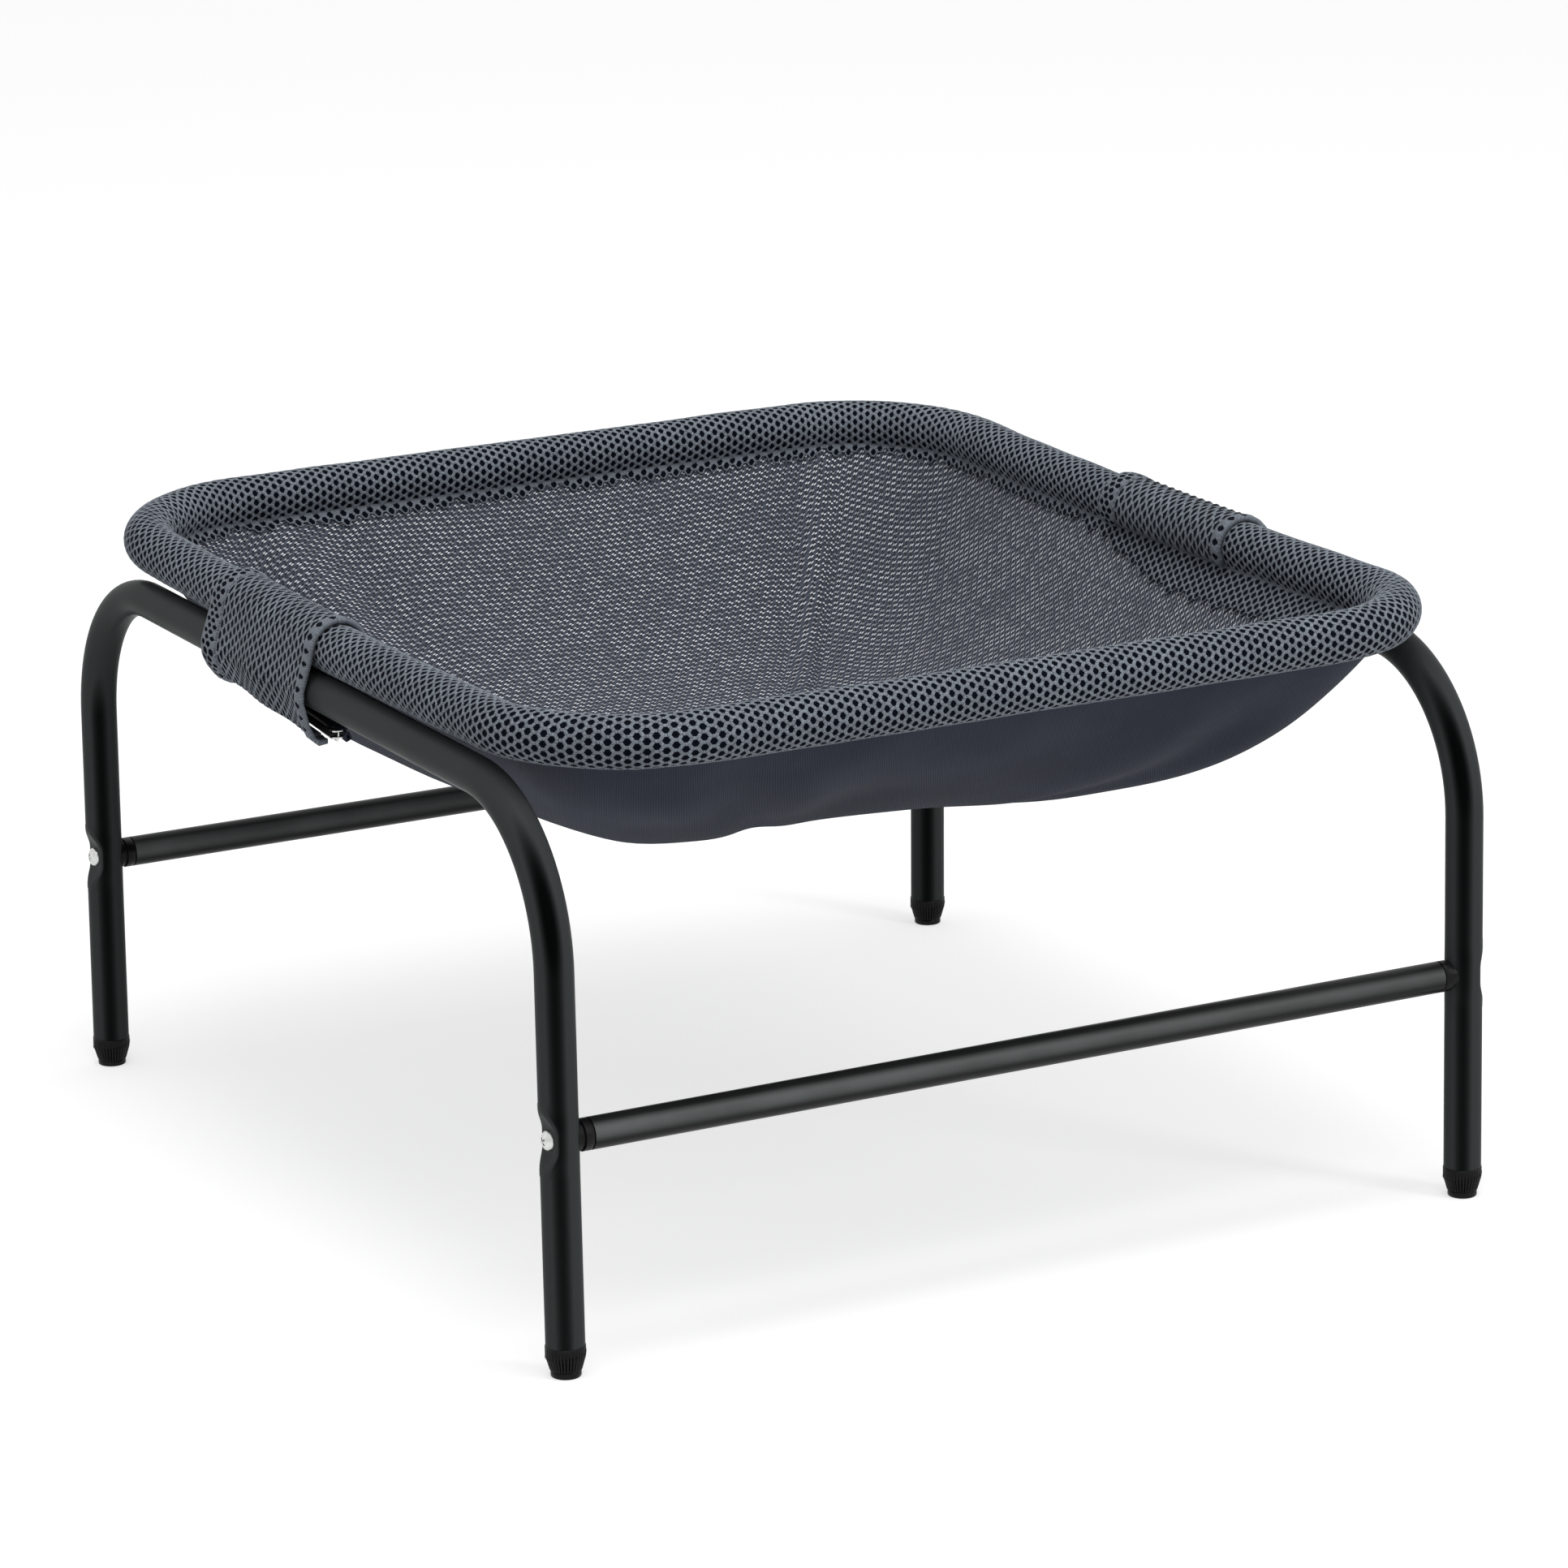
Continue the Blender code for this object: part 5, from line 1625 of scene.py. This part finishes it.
    def wall_point(self, distance: float, way: float, lift: float) -> Vector:
        """Return a point on the wall's inner side.

        Args:
            distance: The place along the rim.
            way: The way down the wall from the seam.
            lift: The height over the middle surface.

        Returns:
            The point.
        """
        walked = self.spoke(distance)
        _, outward, _ = RimRoute(self.sizes).at(distance)
        for (before, gone_before), (after, gone_after) in zip(walked, walked[1:]):
            if way <= gone_after:
                break
        slope = (after - before).normalized()
        sideways = Vector((-outward.y, outward.x, 0))
        normal = sideways.cross(slope)
        normal = normal if normal.z > 0 else -normal
        return before + slope * (way - gone_before) + normal * lift

    def build_collar(self) -> None:
        """Build the collar of spacer mesh inside the wall, which reaches further down beside the flaps."""
        lattice = self.collar_lattice
        route = RimRoute(self.sizes)
        top = self.layer_gap / 2 + self.inner_thickness + 2 * self.sizes.gap
        centres = {side.value: sum(corner.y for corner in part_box(f"{side.word}_flap")) / 2 for side in Side}

        def place(column: float, row: float, depth: float) -> Vector:
            """Return a point of the collar."""
            distance = route.length * column / self.collar_columns
            return self.wall_point(distance, (row - 0.5) * lattice.row, top + lattice.wall - depth)

        def keep(column: float, row: float) -> bool:
            """Tell whether the collar still reaches down to a cell."""
            where, outward, _ = route.at(route.length * column / self.collar_columns)
            beside = where.y - centres[1 if where.x > 0 else -1] + self.collar_patch_shift
            fade = math.exp(-(beside / self.collar_patch_reach) ** 4)
            patch = self.collar_patch * fade * abs(outward.x) ** 4
            spot = Vector((where.x, where.y, row)) * self.collar_ragged_scale
            ragged = self.collar_ragged * noise.noise(spot)
            return (row - 0.5) * lattice.row <= self.collar_width + patch + ragged

        shape = lattice.panel(self.collar_columns, self.collar_rows, place, wraps=True, keep=keep)
        collar = make_piece(shape, "hammock_mesh_collar", Finishes.AIR_MESH, crease=math.pi)

    def build(self) -> None:
        """Build both layers and the collar."""
        for word, finish, thickness, up in (("inner", Finishes.FLECK, self.inner_thickness, 1),
                                            ("outer", Finishes.WOVEN, self.outer_thickness, -1)):
            item = make_piece(self.layer(up * self.layer_gap / 2), f"hammock_{word}_cloth", finish,
                              stands_for=[f"sling_{word}_layer"], crease=math.pi)
            give_wall(item, thickness, up)
        self.build_collar()


@dataclass
class ZipLine:
    """The line along which a flap's zip closes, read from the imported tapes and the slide's joint."""

    side: Side

    @property
    def centre(self) -> Vector:
        """The middle of the closed zip.

        Returns:
            The point.
        """
        corners = [corner for part in ("outer", "inner")
                   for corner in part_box(f"{self.side.word}_zip_{part}_tape")]
        low = Vector(min(corner[axis] for corner in corners) for axis in range(3))
        high = Vector(max(corner[axis] for corner in corners) for axis in range(3))
        return (low + high) / 2

    @property
    def onward(self) -> Vector:
        """The direction in which the slider opens the zip."""
        return Vector(joint_named(f"{self.side.word}_zip_slide")["axis"]).normalized()

    def matrix(self, place: Vector) -> Matrix:
        """Return a place whose own X is the bed's X, own Z is onward and own Y points down.

        Args:
            place: The place's origin.

        Returns:
            The place.
        """
        onward = self.onward
        down = onward.cross(Vector((1, 0, 0))).normalized()
        if down.z > 0:
            down = -down
        turn = Matrix((Vector((1, 0, 0)), down, onward)).transposed().to_4x4()
        return Matrix.Translation(place) @ turn


@dataclass
class SideFlap:
    """One side's flap: holed mesh round the rim and the tube, its hems, strip, zip, slider and pull."""

    sizes: BedSizes
    side: Side
    lattice: HoledLattice = HoledLattice(pitch=0.0073, row=0.0029, crown=0.00012, pit=0.0008)
    hem_lattice: HoledLattice = HoledLattice(pitch=0.0062, strand=0.00072, crown=0.00020, wall=0.0026)
    front_hem: float = 0.0066
    rear_hem: float = 0.0135
    front_hem_rows: int = 2
    rear_hem_rows: int = 5
    hem_lift: float = 0.0008
    hem_gap: float = 0.0012
    hem_roll: tuple[float, float] = (0.15, 0.7)
    root_angle: float = math.radians(215.0)
    rim_steps: int = 30
    tube_steps: int = 16
    tape_width: float = 0.0046
    tape_thickness: float = 0.0008
    coil_near: float = 0.0007
    coil_width: float = 0.0019
    coil_height: float = 0.0020
    tooth_pitch: float = 0.00125
    tooth_length: float = 0.0008
    tooth_taper: tuple[float, float] = (0.72, 0.8)
    wave: float = 0.0012
    wave_start: float = 0.55
    wave_rise: float = 0.2
    wave_fall: float = 0.12
    strip_thickness: float = 0.0008
    strip_root_angle: float = math.radians(252.0)
    strip_hem: float = 0.0015
    strip_slump: float = 0.0045
    strip_corner_share: float = 0.7
    strip_way: float = 0.04
    strip_faces: tuple[int, int] = (12, 24)

    def __post_init__(self) -> None:
        """Read the flap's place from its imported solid."""
        low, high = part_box(f"{self.side.word}_flap")
        self.front = low.y
        self.rear = high.y
        self.line = ZipLine(self.side)
        self.paths: dict[float, list] = {}

    def zip_place(self, depth: float) -> tuple[float, float]:
        """Return the zip line's distance out from the tube's axis and its height at a place along Y.

        Args:
            depth: The place along Y.

        Returns:
            The distance out and the height.
        """
        centre = self.line.centre
        onward = self.line.onward
        out = self.side.value * centre.x - self.sizes.frame_offset
        return out, centre.z + (depth - centre.y) * onward.z / onward.y

    def path(self, depth: float) -> list[tuple[tuple[float, float], float]]:
        """Return the flap's inner surface in a cross section.

        Args:
            depth: The cross section's place along Y.

        Returns:
            Points as outward place and height, each with the way gone along the cloth.
        """
        key = round(depth, 5)
        if key in self.paths:
            return self.paths[key]
        sizes = self.sizes
        rim = (-sizes.rim_inset, sizes.rim_height(depth))
        tube = (0.0, sizes.top_height)
        rim_radius = sizes.rim_radius + sizes.gap
        tube_radius = sizes.tube_radius + sizes.gap
        span = (tube[0] - rim[0], tube[1] - rim[1])
        tangent = math.atan2(span[1], span[0]) + math.acos((rim_radius - tube_radius) / math.hypot(*span))
        zip_out, zip_height = self.zip_place(depth)
        low = (zip_out + self.coil_near + self.tape_width + sizes.gap, zip_height - sizes.cloth / 2)
        corner = (low[0] + self.tape_width, low[1])
        away = math.hypot(corner[0] - tube[0], corner[1] - tube[1])
        leave = math.atan2(corner[1] - tube[1], corner[0] - tube[0]) + math.acos(min(tube_radius / away, 1.0))
        points = [*self.bend(rim, rim_radius, self.root_angle, tangent, self.rim_steps),
                  *self.bend(tube, tube_radius, tangent, leave, self.tube_steps), corner, low]
        self.paths[key] = with_way(points)
        return self.paths[key]

    @staticmethod
    def bend(middle: tuple[float, float], radius: float, start: float, stop: float,
             steps: int) -> list[tuple[float, float]]:
        """Return points on an arc.

        Args:
            middle: The arc's middle.
            radius: Its radius.
            start: The angle of its first point.
            stop: The angle of its last point.
            steps: The spaces between them.

        Returns:
            The points.
        """
        angles = [start + (stop - start) * step / steps for step in range(steps + 1)]
        return [(middle[0] + radius * math.cos(angle), middle[1] + radius * math.sin(angle))
                for angle in angles]

    def on_path(self, depth: float, share: float, lift: float) -> Vector:
        """Return a point of the flap.

        Args:
            depth: The place along Y.
            share: The share of the way from the root to the zip.
            lift: The height over the inner surface.

        Returns:
            The point.
        """
        sizes = self.sizes
        walked = self.path(depth)
        wanted = clamp(share) * walked[-1][1]
        out, height = self.walk(walked, wanted)
        ahead = self.walk(walked, wanted + self.lattice.row / 2)
        behind = self.walk(walked, wanted - self.lattice.row / 2)
        outward = Vector((behind[1] - ahead[1], 0, ahead[0] - behind[0])).normalized()
        middle_height = (sizes.top_height + sizes.rim_side_height) / 2
        if outward.dot(Vector((out + sizes.rim_inset / 2, 0, height - middle_height))) <= 0:
            outward = -outward
        low = clamp((share - self.wave_start) / self.wave_rise) * clamp((1.0 - share) / self.wave_fall)
        along = (depth - self.front) / (self.rear - self.front)
        ripple = self.wave * low * (1 + math.cos(4 * math.pi * along))
        point = Vector((out, 0, height)) + outward * (lift + ripple)
        return Vector((self.side.value * (sizes.frame_offset + point.x), depth, point.z))

    @staticmethod
    def walk(walked: list[tuple[tuple[float, float], float]], wanted: float) -> tuple[float, float]:
        """Return the outward place and height at a way along the cloth, past its ends too.

        Args:
            walked: Points, each with the way gone.
            wanted: The way to go.

        Returns:
            The outward place and the height.
        """
        for (before, gone), (after, reached) in zip(walked, walked[1:]):
            if wanted <= reached or after is walked[-1][0]:
                break
        part = (wanted - gone) / max(reached - gone, WELD)
        return before[0] + (after[0] - before[0]) * part, before[1] + (after[1] - before[1]) * part

    def build_panel(self) -> None:
        """Build the flap's main panel, whose rows of holes run along the rim, and its two hems."""
        length = self.path((self.front + self.rear) / 2)[-1][1]
        rows = 2 * round(length / self.lattice.row / 2)
        start = self.front + self.front_hem + self.hem_gap
        stop = self.rear - self.rear_hem - self.hem_gap / 2
        columns = round(2 * (stop - start) / self.lattice.pitch)

        def place(column: float, row: float, depth: float) -> Vector:
            """Return a point of the main panel."""
            along = start + (stop - start) * column / columns
            return self.on_path(along, row / rows, self.sizes.cloth - depth)

        word = self.side.word
        panel = make_piece(self.lattice.panel(columns, rows, place, wraps=False),
                           f"{word}_flap_panel", Finishes.AIR_MESH, stands_for=[f"{word}_flap"],
                           crease=math.pi)
        hems = [self.build_hem(End.FRONT, self.front, self.front_hem, self.front_hem_rows, length),
                self.build_hem(End.REAR, self.rear, -self.rear_hem, self.rear_hem_rows, length)]

    def build_hem(self, end: End, outer: float, inward: float, rows: int, length: float) -> bpy.types.Object:
        """Build the folded hem at the flap's front or rear edge.

        Args:
            end: Which edge it is.
            outer: The edge's place along Y.
            inward: The way from the edge to the hem's inner side.
            rows: Half rows of holes across the hem.
            length: The way round from the flap's root to the zip.

        Returns:
            The hem.
        """
        lattice = self.hem_lattice
        columns = round(2 * length / lattice.pitch)

        def place(column: float, row: float, depth: float) -> Vector:
            """Return a point of the hem, whose outer edge rolls over."""
            share = row / rows
            start, sweep = self.hem_roll
            roll = self.hem_lift * math.sin(math.pi * (start + sweep * share))
            return self.on_path(outer + inward * share, column / columns, lattice.wall + roll - depth)

        label = f"{self.side.word}_flap_{end.word}_hem"
        return make_piece(lattice.panel(columns, rows, place, wraps=False), label, Finishes.AIR_MESH,
                          crease=math.pi)

    def build_strip(self) -> None:
        """Build the cloth strip on the inner side, from under the rim down to the zip."""
        sizes = self.sizes
        root_reach = sizes.rim_radius + sizes.seam_gap
        columns, rows = self.strip_faces
        shape, marks = cloth_grid(columns, rows)
        flat = {}
        for vert, (column, row) in marks.items():
            share = column / columns
            depth = self.front + (self.rear - self.front) * row / rows
            zip_out, zip_height = self.zip_place(depth)
            slump = self.strip_slump * (1 - row / rows)
            edge = zip_out - self.coil_near - self.tape_width - sizes.gap
            stops = (
                (-sizes.rim_inset + root_reach * math.cos(self.strip_root_angle),
                 sizes.rim_height(depth) + root_reach * math.sin(self.strip_root_angle)),
                (-sizes.tube_radius - sizes.gap - 2 * self.strip_thickness, sizes.top_height),
                (-sizes.tube_radius - self.strip_thickness, zip_height - slump),
                (edge - self.strip_hem, zip_height - self.strip_corner_share * slump),
                (edge, zip_height),
            )
            part = share * (len(stops) - 1)
            first = min(int(part), len(stops) - 2)
            out, height = (before + (after - before) * (part - first)
                           for before, after in zip(stops[first], stops[first + 1]))
            flat[vert] = (share * (stops[0][1] - zip_height), depth)
            vert.co = Vector((self.side.value * (sizes.frame_offset + out), depth, height))
        lay_out(shape, flat.get)
        word = self.side.word
        strip = make_piece(faced_out(shape), f"{word}_strip_cloth", Finishes.WOVEN,
                           stands_for=[f"{word}_inner_strip"])
        give_wall(strip, self.strip_thickness, 0.0)

    def build_tape(self, part: str, toward: int) -> None:
        """Build one half of the zip: a woven tape with a coil of small loops along its edge.

        Args:
            part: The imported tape's word, outer or inner.
            toward: 1 for the half on the bed's outer side and -1 for the other.
        """
        sign = toward * self.side.value
        length = (self.rear - self.front) / self.line.onward.y
        shape = bmesh.new()
        shape.loops.layers.uv.new("cloth")
        near = self.coil_near + self.coil_width / 3
        far = self.coil_near + self.tape_width
        band = add_block(shape, (far - near, self.tape_thickness, length))
        bmesh.ops.translate(shape, verts=band, vec=(sign * (near + far) / 2, 0, 0))
        count = int(length / self.tooth_pitch) - 1
        start = -count * self.tooth_pitch / 2 + toward * self.tooth_pitch / 4
        middle = sign * (self.coil_near + self.coil_width / 2)
        for tooth in range(count):
            loop = add_block(shape, (self.coil_width, self.coil_height, self.tooth_length))
            for vert in loop:
                if vert.co.x * sign < 0:
                    vert.co.y *= self.tooth_taper[0]
                    vert.co.z *= self.tooth_taper[1]
            bmesh.ops.translate(shape, verts=loop, vec=(middle, 0, start + tooth * self.tooth_pitch))
            soften(shape, list({edge for vert in loop for edge in vert.link_edges}), self.tooth_length / 4, 1)
        lay_out(shape, lambda vert: (vert.co.x, vert.co.z))
        bmesh.ops.transform(shape, matrix=self.line.matrix(self.line.centre), verts=shape.verts)
        node = f"{self.side.word}_zip_{part}_tape"
        make_piece(faced_out(shape), f"{node}_coil", Finishes.TAPE, stands_for=[node])

    def build(self) -> None:
        """Build the flap and everything on it."""
        self.build_panel()
        self.build_strip()
        self.build_tape("outer", 1)
        self.build_tape("inner", -1)
        slider = ZipSlider(self.side, self.line)
        slider.build_slider()
        slider.build_pull()


@dataclass
class ZipSlider:
    """A zip's slider and the pull that hangs in its bridge."""

    side: Side
    line: ZipLine
    width: float = 0.0074
    length: float = 0.0090
    plate: float = 0.0008
    opening: float = 0.0013
    web_width: float = 0.0008
    web_length_share: float = 0.5
    web_back_share: float = 0.2
    nose_share: float = 0.62
    nose_power: float = 1.5
    plate_powers: tuple[float, float] = (0.6, 0.7)
    outline_steps: int = 28
    soft: float = 0.00014
    wire_radius: float = 0.0005
    wire_segments: int = 10
    bridge_rise_share: float = 0.45
    bridge_bend_steps: int = 5
    pull_length: float = 0.0140
    pull_half_width: float = 0.0023
    pull_thickness: float = 0.0010
    window_half_width: float = 0.0011
    window_length: float = 0.0042
    bridge_half_length: float = 0.0030
    pull_steps: int = 32
    tab_power: float = 0.45
    window_power: float = 0.4

    def centre(self) -> Vector:
        """Return the slider's middle, between its two plates.

        Returns:
            The point.
        """
        low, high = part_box(f"{self.side.word}_zip_slider")
        x, y = (low.x + high.x) / 2, (low.y + high.y) / 2
        middle = self.line.centre
        onward = self.line.onward
        return Vector((x, y, middle.z + (y - middle.y) * onward.z / onward.y))

    def build_slider(self) -> None:
        """Build the slider: two rounded plates, the web between them and the bridge."""
        shape = bmesh.new()
        for sign in (-1, 1):
            outline = bmesh.ops.create_circle(shape, cap_ends=True, radius=1.0, segments=self.outline_steps)
            for vert in outline["verts"]:
                across, along = map(squared, vert.co.xy, self.plate_powers)
                across *= 1 - (1 - self.nose_share) * max(along, 0.0) ** self.nose_power
                vert.co = (across * self.width / 2, sign * self.opening, along * self.length / 2)
            verts = thicken(shape, [outline["verts"][0].link_faces[0]])
            bmesh.ops.translate(shape, verts=verts, vec=(0, sign * self.plate, 0))
        web_depth = 2 * self.opening + self.plate
        web = add_block(shape, (self.web_width, web_depth, self.length * self.web_length_share))
        bmesh.ops.translate(shape, verts=web, vec=(0, 0, -self.length * self.web_back_share))
        faced_out(shape)
        soften(shape, sharp_edges(shape), self.soft, 2)
        self.add_bridge(shape)
        bmesh.ops.transform(shape, matrix=self.line.matrix(self.centre()), verts=shape.verts)
        node = f"{self.side.word}_zip_slider"
        body = f"{self.side.word}_slider"
        make_piece(shape, f"{node}_metal", Finishes.NICKEL, body=body, stands_for=[node])

    def add_bridge(self, shape: bmesh.types.BMesh) -> None:
        """Add the wire bridge that holds the pull to the slider's lower plate.

        Args:
            shape: The slider's shape.
        """
        foot = self.opening + self.plate / 2
        half = self.bridge_half_length
        turn = self.opening + self.plate + 2 * self.pull_thickness - foot
        rise = Vector((0, turn * self.bridge_rise_share, 0))
        across = Vector((1, 0, 0))
        start = ring_place(Vector((0, foot, -half)), Vector((0, 1, 0)))
        bridge = Sweep(self.wire_radius, self.wire_segments, start)
        bridge.run(rise)
        bridge.turn(Vector((0, foot + rise.y, turn / 2 - half)), across, math.pi / 2, self.bridge_bend_steps)
        bridge.run(Vector((0, 0, 2 * half - turn)))
        bridge.turn(Vector((0, foot + rise.y, half - turn / 2)), across, math.pi / 2, self.bridge_bend_steps)
        bridge.run(-rise)
        holder = as_mesh(bridge.close(), "bridge")
        shape.from_mesh(holder)
        bpy.data.meshes.remove(holder)

    def build_pull(self) -> None:
        """Build the pull: a flat tab with a round tip and a window for the bridge."""
        half = self.pull_thickness / 2
        shape = bmesh.new()
        loops = []
        long_half = (self.pull_length + half) / 2
        window_half = (self.window_length - half) / 2
        for wide, tall, centre, power in (
            (self.pull_half_width, long_half, long_half - half, self.tab_power),
            (self.window_half_width, window_half, half + window_half, self.window_power),
        ):
            made = bmesh.ops.create_circle(shape, cap_ends=False, radius=1.0, segments=self.pull_steps)
            ring = made["verts"]
            for vert in ring:
                vert.co = (squared(vert.co.x, power) * wide, centre + squared(vert.co.y, power) * tall, -half)
            loops += list({edge for vert in ring for edge in vert.link_edges})
        faces = bmesh.ops.bridge_loops(shape, edges=loops)["faces"]
        bmesh.ops.translate(shape, verts=thicken(shape, faces), vec=(0, 0, self.pull_thickness))
        faced_out(shape)
        soften(shape, sharp_edges(shape), self.soft, 2)
        onward = self.line.onward
        tilt = Matrix.Rotation(math.atan2(onward.z, onward.y), 4, "X")
        pivot = Vector(joint_named(f"{self.side.word}_pull_swing")["pos_m"])
        bmesh.ops.transform(shape, matrix=Matrix.Translation(pivot) @ tilt, verts=shape.verts)
        node = f"{self.side.word}_zip_pull"
        make_piece(shape, f"{node}_tab", Finishes.NICKEL, body=f"{self.side.word}_pull", stands_for=[node])


@dataclass
class Studio:
    """The floor, the lamps, the world and the camera."""

    floor_size: float = 16.0
    world_level: float = 0.52
    floor_colour: float = 0.80
    seen_share: float = 0.75
    floor_lift: float = 0.62
    camera_place: tuple[float, float, float] = (-1.56986, -2.97000, 1.13711)
    azimuth: float = math.radians(-28.07681)
    elevation: float = math.radians(15.81342)
    roll: float = math.radians(-0.83381)
    lens: float = 155.63
    sensor: float = 36.0
    aim: Vector = field(default_factory=lambda: Vector((0, 0, 0.2)))

    def build(self) -> None:
        """Set up the floor, the light and the camera."""
        self.build_floor()
        self.build_world()
        self.build_lamp("top_softbox", (-0.2, -0.5, 2.8), (1.4, 1.4), 30.0)
        self.build_lamp("front_softbox", (1.45, -2.1, 1.85), (0.5, 1.6), 16.0)
        self.build_lamp("left_strip", (-2.3, 1.5, 0.9), (0.5, 1.7), 1.0)
        self.build_camera()
        bpy.context.scene.view_settings.view_transform = "Standard"

    def build_floor(self) -> None:
        """Build the plain pale floor, which looks white and keeps the bed's shadow."""
        shape = bmesh.new()
        bmesh.ops.create_grid(shape, x_segments=1, y_segments=1, size=self.floor_size / 2)
        floor = linked("studio_floor", as_mesh(shape, "studio_floor"))
        material = bpy.data.materials.new("studio_floor")
        material.use_nodes = True
        sheet = NodeSheet(material.node_tree)
        plain, faint = (sheet.add("BsdfDiffuse", {"Color": (level, level, level, 1.0)}).outputs[0]
                        for level in (self.floor_colour, self.floor_colour * self.seen_share))
        lift = sheet.add("Emission", {"Strength": self.floor_lift}).outputs[0]
        white = sheet.add("AddShader", {0: faint, 1: lift}).outputs[0]
        both = sheet.add("MixShader", {0: self.background_rays(sheet), 1: plain, 2: white})
        sheet.show("OutputMaterial", both)
        floor.data.materials.append(material)

    def build_world(self) -> None:
        """Light the scene evenly; the camera and reflections see white."""
        world = bpy.data.worlds.new("studio")
        world.use_nodes = True
        sheet = NodeSheet(world.node_tree)
        dim = self.world_level
        level = sheet.math("MULTIPLY_ADD", self.background_rays(sheet), 1.0 - dim, dim)
        sheet.show("OutputWorld", sheet.add("Background", {"Color": (1, 1, 1, 1), "Strength": level}))
        bpy.context.scene.world = world

    @staticmethod
    def background_rays(sheet: NodeSheet) -> Socket:
        """Return 1 for the rays that see the background as it is: from the camera, gloss and glass.

        Args:
            sheet: The floor's or the world's sheet.

        Returns:
            The value's socket.
        """
        path = sheet.add("LightPath")
        seen = sheet.math("MAXIMUM", path.outputs["Is Camera Ray"], path.outputs["Is Glossy Ray"])
        return sheet.math("MAXIMUM", seen, path.outputs["Is Transmission Ray"])

    def build_lamp(self, label: str, place: tuple[float, float, float], size: tuple[float, float],
                   power: float) -> None:
        """Add one softbox that faces the bed.

        Args:
            label: The lamp's name.
            place: Where it stands.
            size: Its width and height.
            power: Its power in watts.
        """
        light = bpy.data.lights.new(label, "AREA")
        light.shape = "RECTANGLE"
        light.size, light.size_y = size
        light.energy = power
        lamp = linked(label, light)
        lamp.location = place
        lamp.rotation_euler = (Vector(place) - self.aim).to_track_quat("Z", "Y").to_euler()

    def build_camera(self) -> None:
        """Add the camera at the photograph's viewpoint."""
        view = bpy.data.cameras.new("photo_camera")
        view.lens = self.lens
        view.sensor_width = self.sensor
        view.sensor_fit = "HORIZONTAL"
        flat = math.cos(self.elevation)
        rise = math.sin(self.elevation)
        back = Vector((math.sin(self.azimuth) * flat, -math.cos(self.azimuth) * flat, rise))
        right = Vector((math.cos(self.azimuth), math.sin(self.azimuth), 0))
        upward = back.cross(right)
        turned_right = right * math.cos(self.roll) + upward * math.sin(self.roll)
        turned_up = upward * math.cos(self.roll) - right * math.sin(self.roll)
        turn = Matrix((turned_right, turned_up, back)).transposed().to_4x4()
        camera = linked("photo_camera", view)
        camera.matrix_world = Matrix.Translation(self.camera_place) @ turn
        bpy.context.scene.camera = camera


def main() -> None:
    """Build the bed, its finishes and the studio."""
    logging.basicConfig(level=logging.INFO, format="%(name)s: %(message)s")
    sizes = BedSizes.from_frame()
    TubeFrame(sizes).build()
    for side in Side:
        for end in End:
            FootCap(sizes, side, end).build()
    PaddedRim(sizes).build()
    Hammock(sizes).build()
    for side in Side:
        SideFlap(sizes, side).build()
    Studio().build()


if __name__ == "__main__":
    main()
